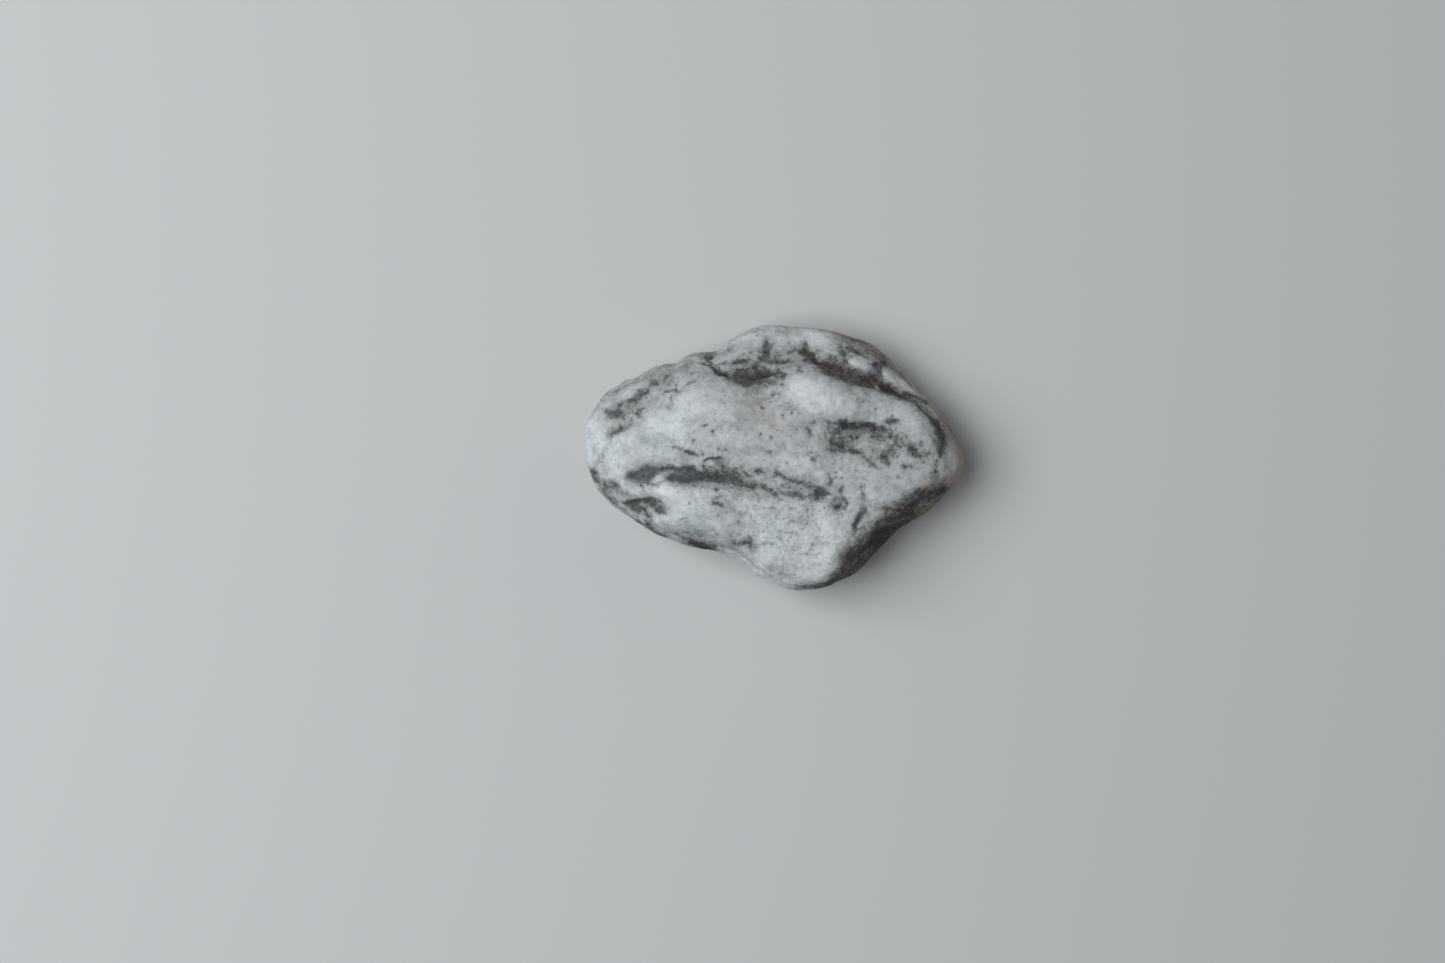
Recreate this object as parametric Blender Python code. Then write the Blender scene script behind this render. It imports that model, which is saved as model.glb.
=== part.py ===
"""A river rock: one water-worn stone of white marble with dark mineral layers.

The stone lies on its flattened underside, with its origin on the ground under the middle
of its box, +X towards its pointed east end and +Z up. It starts as an even sphere of
quads. The sphere's directions are then laid out over the plan outline, and the height of
each point is worked out from the rim, the shoulders, the crown and the marks that the
water has worn into it. All sizes are in millimetres until the finished mesh is scaled.
"""

import math

import bmesh
import bpy
import numpy as np

MM = 0.001

# The box of the whole stone, along X, Y and Z.
LENGTH = 60.0
WIDTH = 42.0
THICKNESS = 19.0

# The stone's edge seen from above, as (x, y), anticlockwise from the east tip.
OUTLINE = (
    (30.0, -0.9), (29.6, 1.4), (28.4, 3.8), (26.9, 6.3), (25.4, 8.7), (23.1, 10.6),
    (21.1, 12.5), (19.1, 14.5), (17.1, 16.5), (14.8, 18.1), (12.1, 19.1), (9.3, 19.9),
    (6.3, 20.4), (2.9, 20.6), (0.7, 20.9), (-1.9, 21.0), (-4.2, 20.4), (-7.2, 18.5),
    (-9.2, 17.1), (-12.4, 16.5), (-14.6, 15.8), (-16.4, 14.9), (-19.1, 14.0),
    (-21.2, 12.8), (-23.7, 11.7), (-25.8, 10.8), (-27.7, 9.0), (-29.0, 7.2),
    (-30.0, 4.7), (-30.1, 2.2), (-29.7, -0.3), (-29.1, -2.8), (-27.9, -5.2),
    (-26.0, -7.2), (-23.1, -9.2), (-20.2, -11.6), (-16.1, -13.0), (-13.2, -14.1),
    (-9.8, -14.8), (-7.1, -15.4), (-5.2, -16.4), (-3.2, -18.0), (-0.6, -19.5),
    (2.0, -20.7), (4.3, -21.0), (7.7, -20.5), (10.2, -19.5), (13.0, -18.3),
    (15.9, -15.5), (18.1, -13.2), (20.1, -11.3), (22.7, -10.1), (25.5, -7.6),
    (27.2, -6.1), (28.7, -4.4), (29.7, -2.7),
)

# Round the stone by bearing in degrees: the height of the rim, where the stone is
# widest, how far in from it the top and the underside stop rolling over, and how full
# the shoulder is (2 is an ellipse, and lower is nearer to a straight bevel).
RIM = (
    # bearing, rim height, shoulder width, belly width, fullness
    (0, 6.6, 4.4, 12.0, 2.0),
    (32, 6.2, 5.4, 11.0, 1.9),
    (62, 6.8, 5.6, 10.0, 1.9),
    (95, 7.8, 5.6, 9.5, 1.9),
    (125, 8.4, 6.0, 9.0, 1.9),
    (155, 8.8, 6.8, 12.0, 1.9),
    (180, 9.0, 7.0, 14.0, 1.9),
    (205, 8.8, 4.6, 12.5, 2.0),
    (235, 8.6, 3.8, 8.5, 2.1),
    (262, 8.0, 2.7, 9.0, 2.1),
    (280, 7.3, 2.4, 9.4, 2.0),
    (297, 6.4, 2.6, 9.4, 1.9),
    (310, 5.6, 4.3, 9.0, 1.6),
    (335, 5.4, 4.7, 10.0, 1.6),
)
# The outline's small nicks fade out towards the middle, over this many degrees.
CALMING = 14.0

# The crown before anything is worn into it: a dome over the middle, falling away
# further to the east and a little to the north.
CROWN_HEIGHT = 18.4
CROWN_FALL = 3.8
CROWN_REACH = (27.0, 19.0)
EAST_FALL = 0.07
NORTH_FALL = 0.05
FALL_EASE = 8.0

# The underside, a shallower bowl the other way up. It sags below the ground plane round
# the middle, where the stone is worn flat, and WEAR_EASE rounds the edge of the flat.
SOLE_SAG = 0.55
SOLE_RISE = 3.0
SOLE_REACH = (26.0, 18.5)
WEAR_EASE = 0.3

# Broad swellings and hollows of the top: (x, y, half length, half width, turn in
# degrees, height).
TOP_FORMS = (
    (-12.0, 8.6, 8.0, 4.6, 18, 0.7),  # west crown
    (8.6, 8.6, 5.6, 3.4, -12, 1.1),  # north crown
    (-2.2, 8.0, 3.6, 5.0, 10, -0.5),  # saddle between the two
    (-7.5, -8.6, 12.5, 3.8, -14, 1.2),  # south lobe
    (-17.2, -4.9, 3.2, 2.0, -10, 0.6),  # its blunt west nose
    (10.5, -17.0, 7.0, 6.0, 30, 2.7),  # south foot
    (13.8, 3.4, 7.4, 3.0, -5, -0.9),  # east hollow
    (22.0, 4.6, 4.2, 3.8, -40, 0.8),  # east crown
    (19.0, -3.6, 7.0, 3.4, 24, 0.6),  # shoulder above the gully
    (27.0, -1.2, 2.6, 2.8, 0, 0.7),  # knob at the east tip
    (-20.6, -7.4, 3.6, 1.9, -8, -0.9),  # dent in the south-west shoulder
    (13.8, -7.6, 1.8, 4.4, 12, -0.3),  # dip between the foot and the shoulder
    (17.4, -12.2, 3.0, 2.2, 45, -1.1),  # gully in the south-east flank
    (-25.0, 0.5, 3.5, 4.0, 0, 0.4),  # round west end
    (-2.6, 13.2, 4.2, 1.9, 0, -0.5),  # pocket under the rear rib
    (4.4, 17.4, 2.4, 2.2, 0, -0.4),  # nick across the rear rib
    (16.0, 14.6, 3.0, 1.9, -35, 0.5),  # knuckle on the rear rib
    (10.6, 16.8, 2.8, 1.9, -20, -0.3),  # hollow beside it
    (-16.0, 12.4, 3.0, 1.9, 25, 0.3),  # north-west shoulder
)

# Swellings and hollows of the underside, in the same form, higher meaning lower down.
SOLE_FORMS = (
    (-13.0, 3.0, 7.5, 5.0, 20, 0.35),
    (10.0, 3.5, 7.0, 4.5, -25, 0.3),
    (1.0, -8.0, 7.0, 4.0, 10, 0.4),
    (20.0, -3.0, 5.5, 5.0, 30, -0.3),
    (-15.0, -7.5, 7.0, 5.0, -20, -0.25),
    (-4.0, 13.0, 7.0, 4.5, 0, -0.3),
)

# Worn lines of the top: a half width, then points as (x, y, depth, drop) along the line.
# The drop is how much lower the stone lies on the left of the line than on its right.
TROUGH_WIDTH = 1.9
TROUGH = (
    (-26.0, 4.0, 0.2, 0.0), (-21.4, 8.0, 0.6, 0.0), (-16.4, 10.6, 0.6, 0.2),
    (-11.4, 12.3, 0.7, 0.7), (-7.0, 12.9, 1.4, 1.3), (-2.4, 13.2, 1.6, 1.7),
    (2.4, 14.2, 1.2, 1.9), (7.4, 14.6, 1.2, 2.0), (11.8, 13.0, 1.5, 2.0),
    (16.0, 11.5, 1.6, 1.8), (19.8, 9.8, 1.5, 1.4), (22.8, 7.5, 1.2, 1.0),
    (25.0, 4.8, 0.9, 0.6), (26.2, 1.6, 0.5, 0.3), (26.6, -2.0, 0.1, 0.0),
)
BAND_WIDTH = 1.9
BAND = (
    (-24.6, -3.9, 0.1, 0.0), (-22.2, -2.9, 0.8, 0.0), (-18.3, -2.3, 0.9, 0.0),
    (-13.5, -2.9, 1.1, 0.0), (-9.0, -3.3, 1.2, 0.0), (-4.2, -4.4, 1.0, 0.0),
    (1.4, -5.5, 0.9, 0.0), (6.6, -5.8, 0.8, 0.0), (9.8, -7.2, 0.6, 0.0),
    (11.8, -9.8, 0.1, 0.0),
)
WORN_LINES = ((TROUGH_WIDTH, TROUGH), (BAND_WIDTH, BAND))
LINE_STEPS = 10
DROP_RUN = 2.6

# Slow unevenness of the whole skin, as a sum of smooth waves.
WAVE_SEED = 11
WAVE_COUNT = 28
WAVE_LENGTHS = (9.0, 20.0)
WAVE_HEIGHT = 0.3

# The sphere of quads: cuts along each side, and how far its points crowd to the top
# and the underside, which are wider than the rim is high.
SPHERE_CUTS = 28
CROWDING = 0.2

STONE_COLOUR = (0.62, 0.63, 0.62, 1.0)
STONE_ROUGHNESS = 0.6


def clear_scene():
    """Removes every object, so that the stone stands alone."""
    for thing in list(bpy.data.objects):
        bpy.data.objects.remove(thing, do_unlink=True)


def round_curve(bearings, stations, values):
    """Reads a smooth closed curve, drawn through values at the stations, at each bearing.

    Each span is a cubic whose slope at a station is that of its two neighbours.
    """
    order = np.argsort(stations)
    at = np.asarray(stations, float)[order]
    held = np.asarray(values, float)[order]
    turn = 2 * math.pi
    at = np.concatenate([at[-2:] - turn, at, at[:2] + turn])
    held = np.concatenate([held[-2:], held, held[:2]])
    slopes = (held[2:] - held[:-2]) / (at[2:] - at[:-2])
    bearings = np.mod(bearings - at[1], turn) + at[1]
    span = np.clip(np.searchsorted(at, bearings, side="right") - 1, 1, len(at) - 3)
    run = at[span + 1] - at[span]
    t = (bearings - at[span]) / run
    return (
        held[span] * (1 + 2 * t) * (1 - t) ** 2
        + slopes[span - 1] * run * t * (1 - t) ** 2
        + held[span + 1] * t**2 * (3 - 2 * t)
        + slopes[span] * run * t**2 * (t - 1)
    )


def outline_reach(bearings):
    """How far the outline lies from the middle of the stone at each bearing."""
    x, y = np.array(OUTLINE).T
    return round_curve(bearings, np.arctan2(y, x), np.hypot(x, y))


def calm_reach(bearings):
    """The outline's reach, evened out over CALMING degrees to each side."""
    turns = np.radians(np.linspace(-CALMING, CALMING, 9))
    return np.mean([outline_reach(bearings + turn) for turn in turns], axis=0)


def rim_value(bearings, column):
    """One column of the RIM table, read round the stone."""
    table = np.array(RIM, float)
    stations = np.radians(table[:, 0])
    stations = np.where(stations > math.pi, stations - 2 * math.pi, stations)
    return round_curve(bearings, stations, table[:, column])


def smooth_step(t):
    """0 below 0, 1 above 1, and level at both ends."""
    t = np.clip(t, 0, 1)
    return t * t * (3 - 2 * t)


def raised_forms(x, y, forms):
    """The summed height of oval swellings, each a bell curve in its own turned frame."""
    total = np.zeros_like(x)
    for at_x, at_y, half_length, half_width, turn, height in forms:
        c, s = math.cos(math.radians(turn)), math.sin(math.radians(turn))
        along = ((x - at_x) * c + (y - at_y) * s) / half_length
        across = ((y - at_y) * c - (x - at_x) * s) / half_width
        total += height * np.exp(-(along**2 + across**2))
    return total


def smooth_line(stations):
    """Draws a smooth curve through rows of values, as LINE_STEPS short steps a span."""
    rows = np.array(stations, float)
    ends = np.vstack([2 * rows[0] - rows[1], rows, 2 * rows[-1] - rows[-2]])
    t = np.arange(LINE_STEPS)[:, None] / LINE_STEPS
    drawn = []
    for before, here, after, later in zip(ends, ends[1:], ends[2:], ends[3:]):
        bend = 2 * before - 5 * here + 4 * after - later
        twist = 3 * here - before - 3 * after + later
        drawn.append(here + 0.5 * t * (after - before + t * (bend + t * twist)))
    return np.vstack(drawn + [rows[-1:]])


def follow_line(x, y, line):
    """For each point: its distance to the left of the line, and the depth and drop there."""
    nearest = np.full_like(x, np.inf)
    side, depth, drop = np.ones_like(x), np.zeros_like(x), np.zeros_like(x)
    for here, after in zip(line, line[1:]):
        dx, dy = after[0] - here[0], after[1] - here[1]
        t = np.clip(((x - here[0]) * dx + (y - here[1]) * dy) / (dx * dx + dy * dy), 0, 1)
        off_x, off_y = x - here[0] - t * dx, y - here[1] - t * dy
        distance = np.hypot(off_x, off_y)
        closer = distance < nearest
        nearest = np.where(closer, distance, nearest)
        side = np.where(closer, np.sign(dx * off_y - dy * off_x), side)
        depth = np.where(closer, here[2] + t * (after[2] - here[2]), depth)
        drop = np.where(closer, here[3] + t * (after[3] - here[3]), drop)
    return side * nearest, depth, drop


def eased_fall(distance):
    """A slope that starts gently: nothing before the middle, then the distance itself."""
    return 0.5 * (distance + np.sqrt(distance**2 + FALL_EASE**2))


def bowl(x, y, reach):
    """How far a point is up the side of an oval bowl: 0 at the middle, 1 at its reach."""
    return (x / reach[0]) ** 2 + (y / reach[1]) ** 2


def top_height(x, y):
    """The height of the top, before it rolls over at its shoulders."""
    height = CROWN_HEIGHT - CROWN_FALL * bowl(x, y, CROWN_REACH)
    height -= EAST_FALL * eased_fall(x) + NORTH_FALL * eased_fall(y)
    height += raised_forms(x, y, TOP_FORMS)
    for width, stations in WORN_LINES:
        distance, depth, drop = follow_line(x, y, smooth_line(stations))
        height -= depth * np.exp(-((distance / width) ** 2))
        height -= drop * smooth_step(0.5 + 0.5 * distance / DROP_RUN)
    return height


def sole_height(x, y):
    """The height of the underside, before it rolls up to the rim."""
    height = SOLE_RISE * bowl(x, y, SOLE_REACH) - SOLE_SAG
    return height - raised_forms(x, y, SOLE_FORMS)


def rolled(distance, width, fullness):
    """The rise of a rounded shoulder: 0 at the rim, 1 from one width in."""
    share = np.clip(distance / width, 0, 1)
    return (1 - (1 - share) ** fullness) ** (1 / fullness)


def slow_waves(x, y, level):
    """Gentle unevenness of a level: a sum of plane waves in random directions."""
    chance = np.random.default_rng(WAVE_SEED)
    headings = chance.normal(size=(WAVE_COUNT, 3))
    headings /= np.linalg.norm(headings, axis=1)[:, None]
    lengths = chance.uniform(*WAVE_LENGTHS, WAVE_COUNT)
    starts = chance.uniform(0, 2 * math.pi, WAVE_COUNT)
    places = np.stack([x, y, np.full_like(x, level)], axis=1)
    phases = places @ (headings * (2 * math.pi / lengths)[:, None]).T + starts
    return WAVE_HEIGHT * math.sqrt(2 / WAVE_COUNT) * np.sin(phases).sum(axis=1)


def stone_points(directions):
    """Lays unit directions out as the skin of the stone, in millimetres."""
    bearings = np.arctan2(directions[:, 1], directions[:, 0])
    latitude = np.arcsin(np.clip(directions[:, 2], -1, 1))
    latitude = latitude + CROWDING * np.sin(2 * latitude)
    share = np.cos(latitude)
    calm = calm_reach(bearings)
    reach = calm + (outline_reach(bearings) - calm) * share**3
    x, y = reach * share * np.cos(bearings), reach * share * np.sin(bearings)
    inward = reach * (1 - share)
    rim = rim_value(bearings, 1)
    shoulder = rolled(inward, rim_value(bearings, 2), rim_value(bearings, 4))
    belly = rolled(inward, rim_value(bearings, 3), 2.0)
    top = top_height(x, y) + slow_waves(x, y, THICKNESS)
    sole = sole_height(x, y) + slow_waves(x, y, 0.0)
    height = np.where(latitude >= 0, rim + (top - rim) * shoulder, rim + (sole - rim) * belly)
    return np.stack([x, y, height], axis=1)


def settled(points):
    """Wears the underside flat on the ground and brings the stone to its box."""
    height = points[:, 2]
    eased = (np.maximum(height + WEAR_EASE, 0)) ** 2 / (4 * WEAR_EASE)
    points[:, 2] = np.where(height > WEAR_EASE, height, eased)
    low, high = points.min(axis=0), points.max(axis=0)
    middle = np.array([(low[0] + high[0]) / 2, (low[1] + high[1]) / 2, 0])
    return (points - middle) * np.array([LENGTH, WIDTH, THICKNESS]) / (high - low)


def quad_sphere(cuts):
    """A cube cut into an even grid and blown up to a sphere, so that it has no poles."""
    cage = bmesh.new()
    bmesh.ops.create_cube(cage, size=2.0)
    bmesh.ops.subdivide_edges(cage, edges=cage.edges[:], cuts=cuts - 1, use_grid_fill=True)
    corners = np.array([vert.co for vert in cage.verts])
    evened = np.tan(corners * math.pi / 4)
    return cage, evened / np.linalg.norm(evened, axis=1)[:, None]


def stone_material():
    """Matt white marble, at its average colour with the dark layers in it."""
    material = bpy.data.materials.new("white_marble")
    material.use_nodes = True
    shader = material.node_tree.nodes["Principled BSDF"]
    shader.inputs["Base Color"].default_value = STONE_COLOUR
    shader.inputs["Roughness"].default_value = STONE_ROUGHNESS
    shader.inputs["Metallic"].default_value = 0.0
    return material


def build_stone():
    """Makes the stone's object from the sphere and shades it smooth."""
    cage, directions = quad_sphere(SPHERE_CUTS)
    points = settled(stone_points(directions)) * MM
    for vert, point in zip(cage.verts, points):
        vert.co = point
    mesh = bpy.data.meshes.new("river_rock")
    cage.to_mesh(mesh)
    cage.free()
    mesh.materials.append(stone_material())
    mesh.shade_smooth()
    return bpy.data.objects.new("river_rock", mesh)


def main():
    clear_scene()
    collection = bpy.data.collections.new("river_rock")
    bpy.context.scene.collection.children.link(collection)
    collection.objects.link(build_stone())


main()
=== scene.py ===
"""The looks of a river rock: white marble, worn by water, with dark mineral layers.

The stone's solid comes from the frame. Here it gets its fine surface: the same form on a
much closer grid, with the layers standing out on its flanks, the dark minerals etched
into its top, cracks, nicks and grain. The minerals are laid out as marks on the
top and follow the bedding elsewhere. All sizes are in millimetres until a mesh is made.
"""

import logging
import math
from collections.abc import Sequence
from dataclasses import dataclass
from enum import Enum

import bpy
import numpy as np
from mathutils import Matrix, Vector


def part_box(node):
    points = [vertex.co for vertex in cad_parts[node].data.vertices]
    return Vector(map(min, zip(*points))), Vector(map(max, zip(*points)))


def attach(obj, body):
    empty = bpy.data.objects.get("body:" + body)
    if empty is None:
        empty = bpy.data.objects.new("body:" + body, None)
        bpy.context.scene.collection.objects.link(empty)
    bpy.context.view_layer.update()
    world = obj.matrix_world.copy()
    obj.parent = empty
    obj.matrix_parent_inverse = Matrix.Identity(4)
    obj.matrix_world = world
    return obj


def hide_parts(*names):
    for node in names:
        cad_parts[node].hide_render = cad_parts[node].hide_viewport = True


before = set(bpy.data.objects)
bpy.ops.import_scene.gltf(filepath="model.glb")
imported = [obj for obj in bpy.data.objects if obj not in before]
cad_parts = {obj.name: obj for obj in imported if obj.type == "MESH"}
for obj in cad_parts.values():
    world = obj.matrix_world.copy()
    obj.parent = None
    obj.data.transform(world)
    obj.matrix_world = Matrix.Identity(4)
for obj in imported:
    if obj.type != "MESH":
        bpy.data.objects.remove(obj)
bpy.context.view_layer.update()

log = logging.getLogger("river_rock")

Array = np.ndarray
Colour = tuple[float, float, float]
Place = tuple[float, float]
Station = tuple[float, float, float]
Socket = bpy.types.NodeSocket
Links = dict[str | int, Socket | float | tuple]

MM = 0.001
FULL_TURN = 2 * math.pi
SHORT_RUN = 0.001
NODE = "river_rock"
BODY = "root"


class Mineral(Enum):
    """The minerals and stains of the stone, which along parts of the rim and on the south-east flank also
    carry painted shade. Each becomes one attribute of its surface.
    """

    DARK = "dark"
    HAZE = "haze"
    OLIVE = "olive"
    WARM = "warm"
    WHITE = "white"
    SPECKLE = "speckle"


@dataclass(frozen=True)
class Swelling:
    """An oval swelling of the top or the underside, or a hollow where its height is negative."""

    x: float
    y: float
    half_length: float
    half_width: float
    turn: float
    height: float

    def over(self, x: Array, y: Array) -> Array:
        """Height above each point: a bell curve in the swelling's own turned frame.

        Args:
            x: places along X.
            y: places along Y.

        Returns:
            The height to add at each place.
        """
        cosine, sine = math.cos(math.radians(self.turn)), math.sin(math.radians(self.turn))
        along = ((x - self.x) * cosine + (y - self.y) * sine) / self.half_length
        across = ((y - self.y) * cosine - (x - self.x) * sine) / self.half_width
        return self.height * np.exp(-(along**2 + across**2))


@dataclass(frozen=True)
class RimStation:
    """The edge of the stone at one bearing: where it is widest and how it rolls over."""

    bearing: float
    height: float
    shoulder: float
    belly: float
    fullness: float


@dataclass(frozen=True)
class WornLine:
    """A worn trough. Each station is x, y, depth and how much lower the left side lies."""

    width: float
    drop_run: float
    stations: tuple[tuple[float, float, float, float], ...]


@dataclass(frozen=True)
class Scarp:
    """A crisp step along a line. Each station is x, y and how far the left side drops."""

    run: float
    fade: float
    stations: tuple[tuple[float, float, float], ...]


@dataclass(frozen=True)
class Crack:
    """A fine open crack. Each station is x, y and the depth there."""

    half_width: float
    stations: tuple[tuple[float, float, float], ...]


@dataclass(frozen=True)
class Chip:
    """A small knob on the flank, or a chip out of it where it goes inward."""

    x: float
    y: float
    z: float
    radius: float
    outward: float


@dataclass(frozen=True)
class Mark:
    """A streak or patch of one mineral, or of painted shade laid on as one. Each station is x, y and the half
    width there.
    """

    mineral: Mineral
    strength: float
    stations: tuple[tuple[float, float, float], ...]


def streaks(mineral: Mineral, *drawn: tuple[float, tuple[Station, ...]]) -> tuple[Mark, ...]:
    """Makes streaks and patches of one mineral, some of which paint shade.

    Args:
        mineral: what they are made of.
        drawn: for each, its strength up to 1 and its stations.

    Returns:
        The marks.
    """
    return tuple(Mark(mineral, strength, stations) for strength, stations in drawn)


def dots(mineral: Mineral, strength: float, radius: float, places: Sequence[Place]) -> tuple[Mark, ...]:
    """Makes one small round mark at each place.

    Args:
        mineral: what the dots are made of.
        strength: how solid they are, up to 1.
        radius: their half width.
        places: where they lie.

    Returns:
        The marks.
    """
    return tuple(Mark(mineral, strength, ((x, y, radius),)) for x, y in places)


# The stone's edge seen from above, as (x, y), anticlockwise from the east tip.
OUTLINE = (
    (30.0, -0.9), (29.6, 1.4), (28.4, 3.8), (26.9, 6.3), (25.4, 8.7), (23.1, 10.6),
    (21.1, 12.5), (19.1, 14.5), (17.1, 16.5), (14.8, 18.1), (12.1, 19.1), (9.3, 19.9),
    (6.3, 20.4), (2.9, 20.6), (0.7, 20.9), (-1.9, 21.0), (-4.2, 20.4), (-7.2, 18.5),
    (-9.2, 17.1), (-12.4, 16.5), (-14.6, 15.8), (-16.4, 14.9), (-19.1, 14.0),
    (-21.2, 12.8), (-23.7, 11.7), (-25.8, 10.8), (-27.7, 9.0), (-29.0, 7.2),
    (-30.0, 4.7), (-30.1, 2.2), (-29.7, -0.3), (-29.1, -2.8), (-27.9, -5.2),
    (-26.0, -7.2), (-23.1, -9.2), (-20.2, -11.6), (-16.1, -13.0), (-13.2, -14.1),
    (-9.8, -14.8), (-7.1, -15.4), (-5.2, -16.4), (-3.2, -18.0), (-0.6, -19.5),
    (2.0, -20.7), (4.3, -21.0), (7.7, -20.5), (10.2, -19.5), (13.0, -18.3),
    (15.9, -15.5), (18.1, -13.2), (20.1, -11.3), (22.7, -10.1), (25.5, -7.6),
    (27.2, -6.1), (28.7, -4.4), (29.7, -2.7),
)

# Round the stone: bearing, rim height, shoulder width, belly width, fullness.
RIM = (
    RimStation(0, 6.6, 4.4, 12.0, 2.0),
    RimStation(32, 6.2, 5.4, 11.0, 1.9),
    RimStation(62, 6.8, 5.6, 10.0, 1.9),
    RimStation(95, 7.8, 5.6, 9.5, 1.9),
    RimStation(125, 8.4, 6.0, 9.0, 1.9),
    RimStation(155, 8.8, 6.8, 12.0, 1.9),
    RimStation(180, 9.0, 7.0, 14.0, 1.9),
    RimStation(205, 8.8, 4.6, 12.5, 2.0),
    RimStation(235, 8.6, 3.8, 8.5, 2.1),
    RimStation(262, 8.0, 2.7, 9.0, 2.1),
    RimStation(280, 7.3, 2.4, 9.4, 2.0),
    RimStation(297, 6.4, 2.6, 9.4, 1.9),
    RimStation(310, 5.6, 4.3, 9.0, 1.6),
    RimStation(335, 5.4, 4.7, 10.0, 1.6),
)

# Broad swellings and hollows of the top, as the solid has them.
TOP_SWELLINGS = (
    Swelling(-12.0, 8.6, 8.0, 4.6, 18, 0.7),  # west crown
    Swelling(8.6, 8.6, 5.6, 3.4, -12, 1.1),  # north crown
    Swelling(-2.2, 8.0, 3.6, 5.0, 10, -0.5),  # saddle between the two
    Swelling(-7.5, -8.6, 12.5, 3.8, -14, 1.2),  # south lobe
    Swelling(-17.2, -4.9, 3.2, 2.0, -10, 0.6),  # its blunt west nose
    Swelling(10.5, -17.0, 7.0, 6.0, 30, 2.7),  # south foot
    Swelling(13.8, 3.4, 7.4, 3.0, -5, -0.9),  # east hollow
    Swelling(22.0, 4.6, 4.2, 3.8, -40, 0.8),  # east crown
    Swelling(19.0, -3.6, 7.0, 3.4, 24, 0.6),  # shoulder above the gully
    Swelling(27.0, -1.2, 2.6, 2.8, 0, 0.7),  # knob at the east tip
    Swelling(-20.6, -7.4, 3.6, 1.9, -8, -0.9),  # dent in the south-west shoulder
    Swelling(13.8, -7.6, 1.8, 4.4, 12, -0.3),  # dip between the foot and the shoulder
    Swelling(17.4, -12.2, 3.0, 2.2, 45, -1.1),  # gully in the south-east flank
    Swelling(-25.0, 0.5, 3.5, 4.0, 0, 0.4),  # round west end
    Swelling(-2.6, 13.2, 4.2, 1.9, 0, -0.5),  # pocket under the rear rib
    Swelling(4.4, 17.4, 2.4, 2.2, 0, -0.4),  # nick across the rear rib
    Swelling(16.0, 14.6, 3.0, 1.9, -35, 0.5),  # knuckle on the rear rib
    Swelling(10.6, 16.8, 2.8, 1.9, -20, -0.3),  # hollow beside it
    Swelling(-16.0, 12.4, 3.0, 1.9, 25, 0.3),  # north-west shoulder
)

# Smaller ones, which only the fine surface has.
TOP_DETAILS = (
    Swelling(-16.8, -5.2, 2.0, 0.9, 5, 0.25),  # bright lip under the long band
    Swelling(-17.3, -2.8, 0.8, 0.5, 0, 0.2),  # white island in the band
    Swelling(-21.2, -3.0, 1.9, 0.8, 8, -0.25),  # blunt head of the band
    Swelling(6.9, -5.5, 1.1, 0.9, 0, -0.3),  # dark pit near the band's east end
    Swelling(9.8, -7.5, 0.9, 0.8, 0, -0.3),  # its neighbour
    Swelling(13.0, -9.2, 0.5, 2.2, -24, -0.35),  # groove down to the gully
    Swelling(12.8, 14.6, 1.8, 0.9, -25, 0.35),  # white knobs on the rear rib
    Swelling(17.5, 12.8, 1.5, 1.0, -40, 0.35),
    Swelling(-25.0, 6.9, 1.4, 0.8, 20, -0.22),  # mottled hollows at the west end
    Swelling(-24.4, 4.4, 2.2, 0.8, 38, -0.2),
    Swelling(-21.8, 9.4, 1.9, 0.6, 15, -0.2),
    Swelling(-18.4, -7.4, 1.5, 0.8, -28, -0.3),  # floor of the south-west dent
    Swelling(-20.8, -8.2, 1.5, 0.9, -10, -0.2),
    Swelling(9.0, 2.2, 1.6, 0.9, 0, -0.25),  # hollows of the east patch
    Swelling(12.2, 4.6, 3.0, 0.6, -3, -0.3),
    Swelling(5.0, 4.1, 0.8, 0.6, 40, -0.15),
    Swelling(21.2, 1.0, 0.8, 0.6, 60, -0.2),
    Swelling(15.9, 14.0, 0.8, 0.7, 0, -0.3),  # notch between the rib's knobs
    Swelling(4.6, 16.9, 0.6, 1.3, 15, -0.3),  # furrows running down the rear rib
    Swelling(-1.4, 16.6, 0.6, 1.8, 5, -0.3),
    Swelling(-12.2, -12.4, 1.8, 0.8, -12, -0.25),  # grey dent by the south rim
)

# Swellings and hollows of the underside, higher meaning lower down.
SOLE_SWELLINGS = (
    Swelling(-13.0, 3.0, 7.5, 5.0, 20, 0.35),
    Swelling(10.0, 3.5, 7.0, 4.5, -25, 0.3),
    Swelling(1.0, -8.0, 7.0, 4.0, 10, 0.4),
    Swelling(20.0, -3.0, 5.5, 5.0, 30, -0.3),
    Swelling(-15.0, -7.5, 7.0, 5.0, -20, -0.25),
    Swelling(-4.0, 13.0, 7.0, 4.5, 0, -0.3),
)

TROUGH = WornLine(1.5, 1.7, (
    (-26.0, 4.0, 0.2, 0.0), (-21.4, 8.0, 0.6, 0.0), (-16.4, 10.6, 0.6, 0.2),
    (-11.4, 12.3, 0.7, 0.7), (-7.0, 12.9, 1.1, 1.2), (-2.4, 13.2, 1.3, 1.6),
    (2.4, 14.2, 1.2, 1.9), (7.4, 14.6, 1.2, 2.0), (11.8, 13.0, 1.5, 2.0),
    (16.0, 11.5, 1.6, 1.8), (19.8, 10.0, 1.4, 1.3), (23.0, 7.9, 0.9, 0.8),
    (25.3, 5.0, 0.6, 0.5), (26.4, 1.6, 0.4, 0.3), (26.7, -2.0, 0.1, 0.0),
))
BAND_VALLEY = WornLine(1.7, 2.6, (
    (-24.6, -3.9, 0.1, 0.0), (-22.2, -2.9, 0.8, 0.0), (-18.3, -2.3, 0.9, 0.0),
    (-13.5, -2.9, 1.1, 0.0), (-9.0, -3.3, 1.2, 0.0), (-4.2, -4.4, 1.0, 0.0),
    (1.4, -5.5, 0.9, 0.0), (6.6, -5.8, 0.8, 0.0), (9.8, -7.2, 0.6, 0.0),
    (11.8, -9.8, 0.1, 0.0),
))

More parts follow.
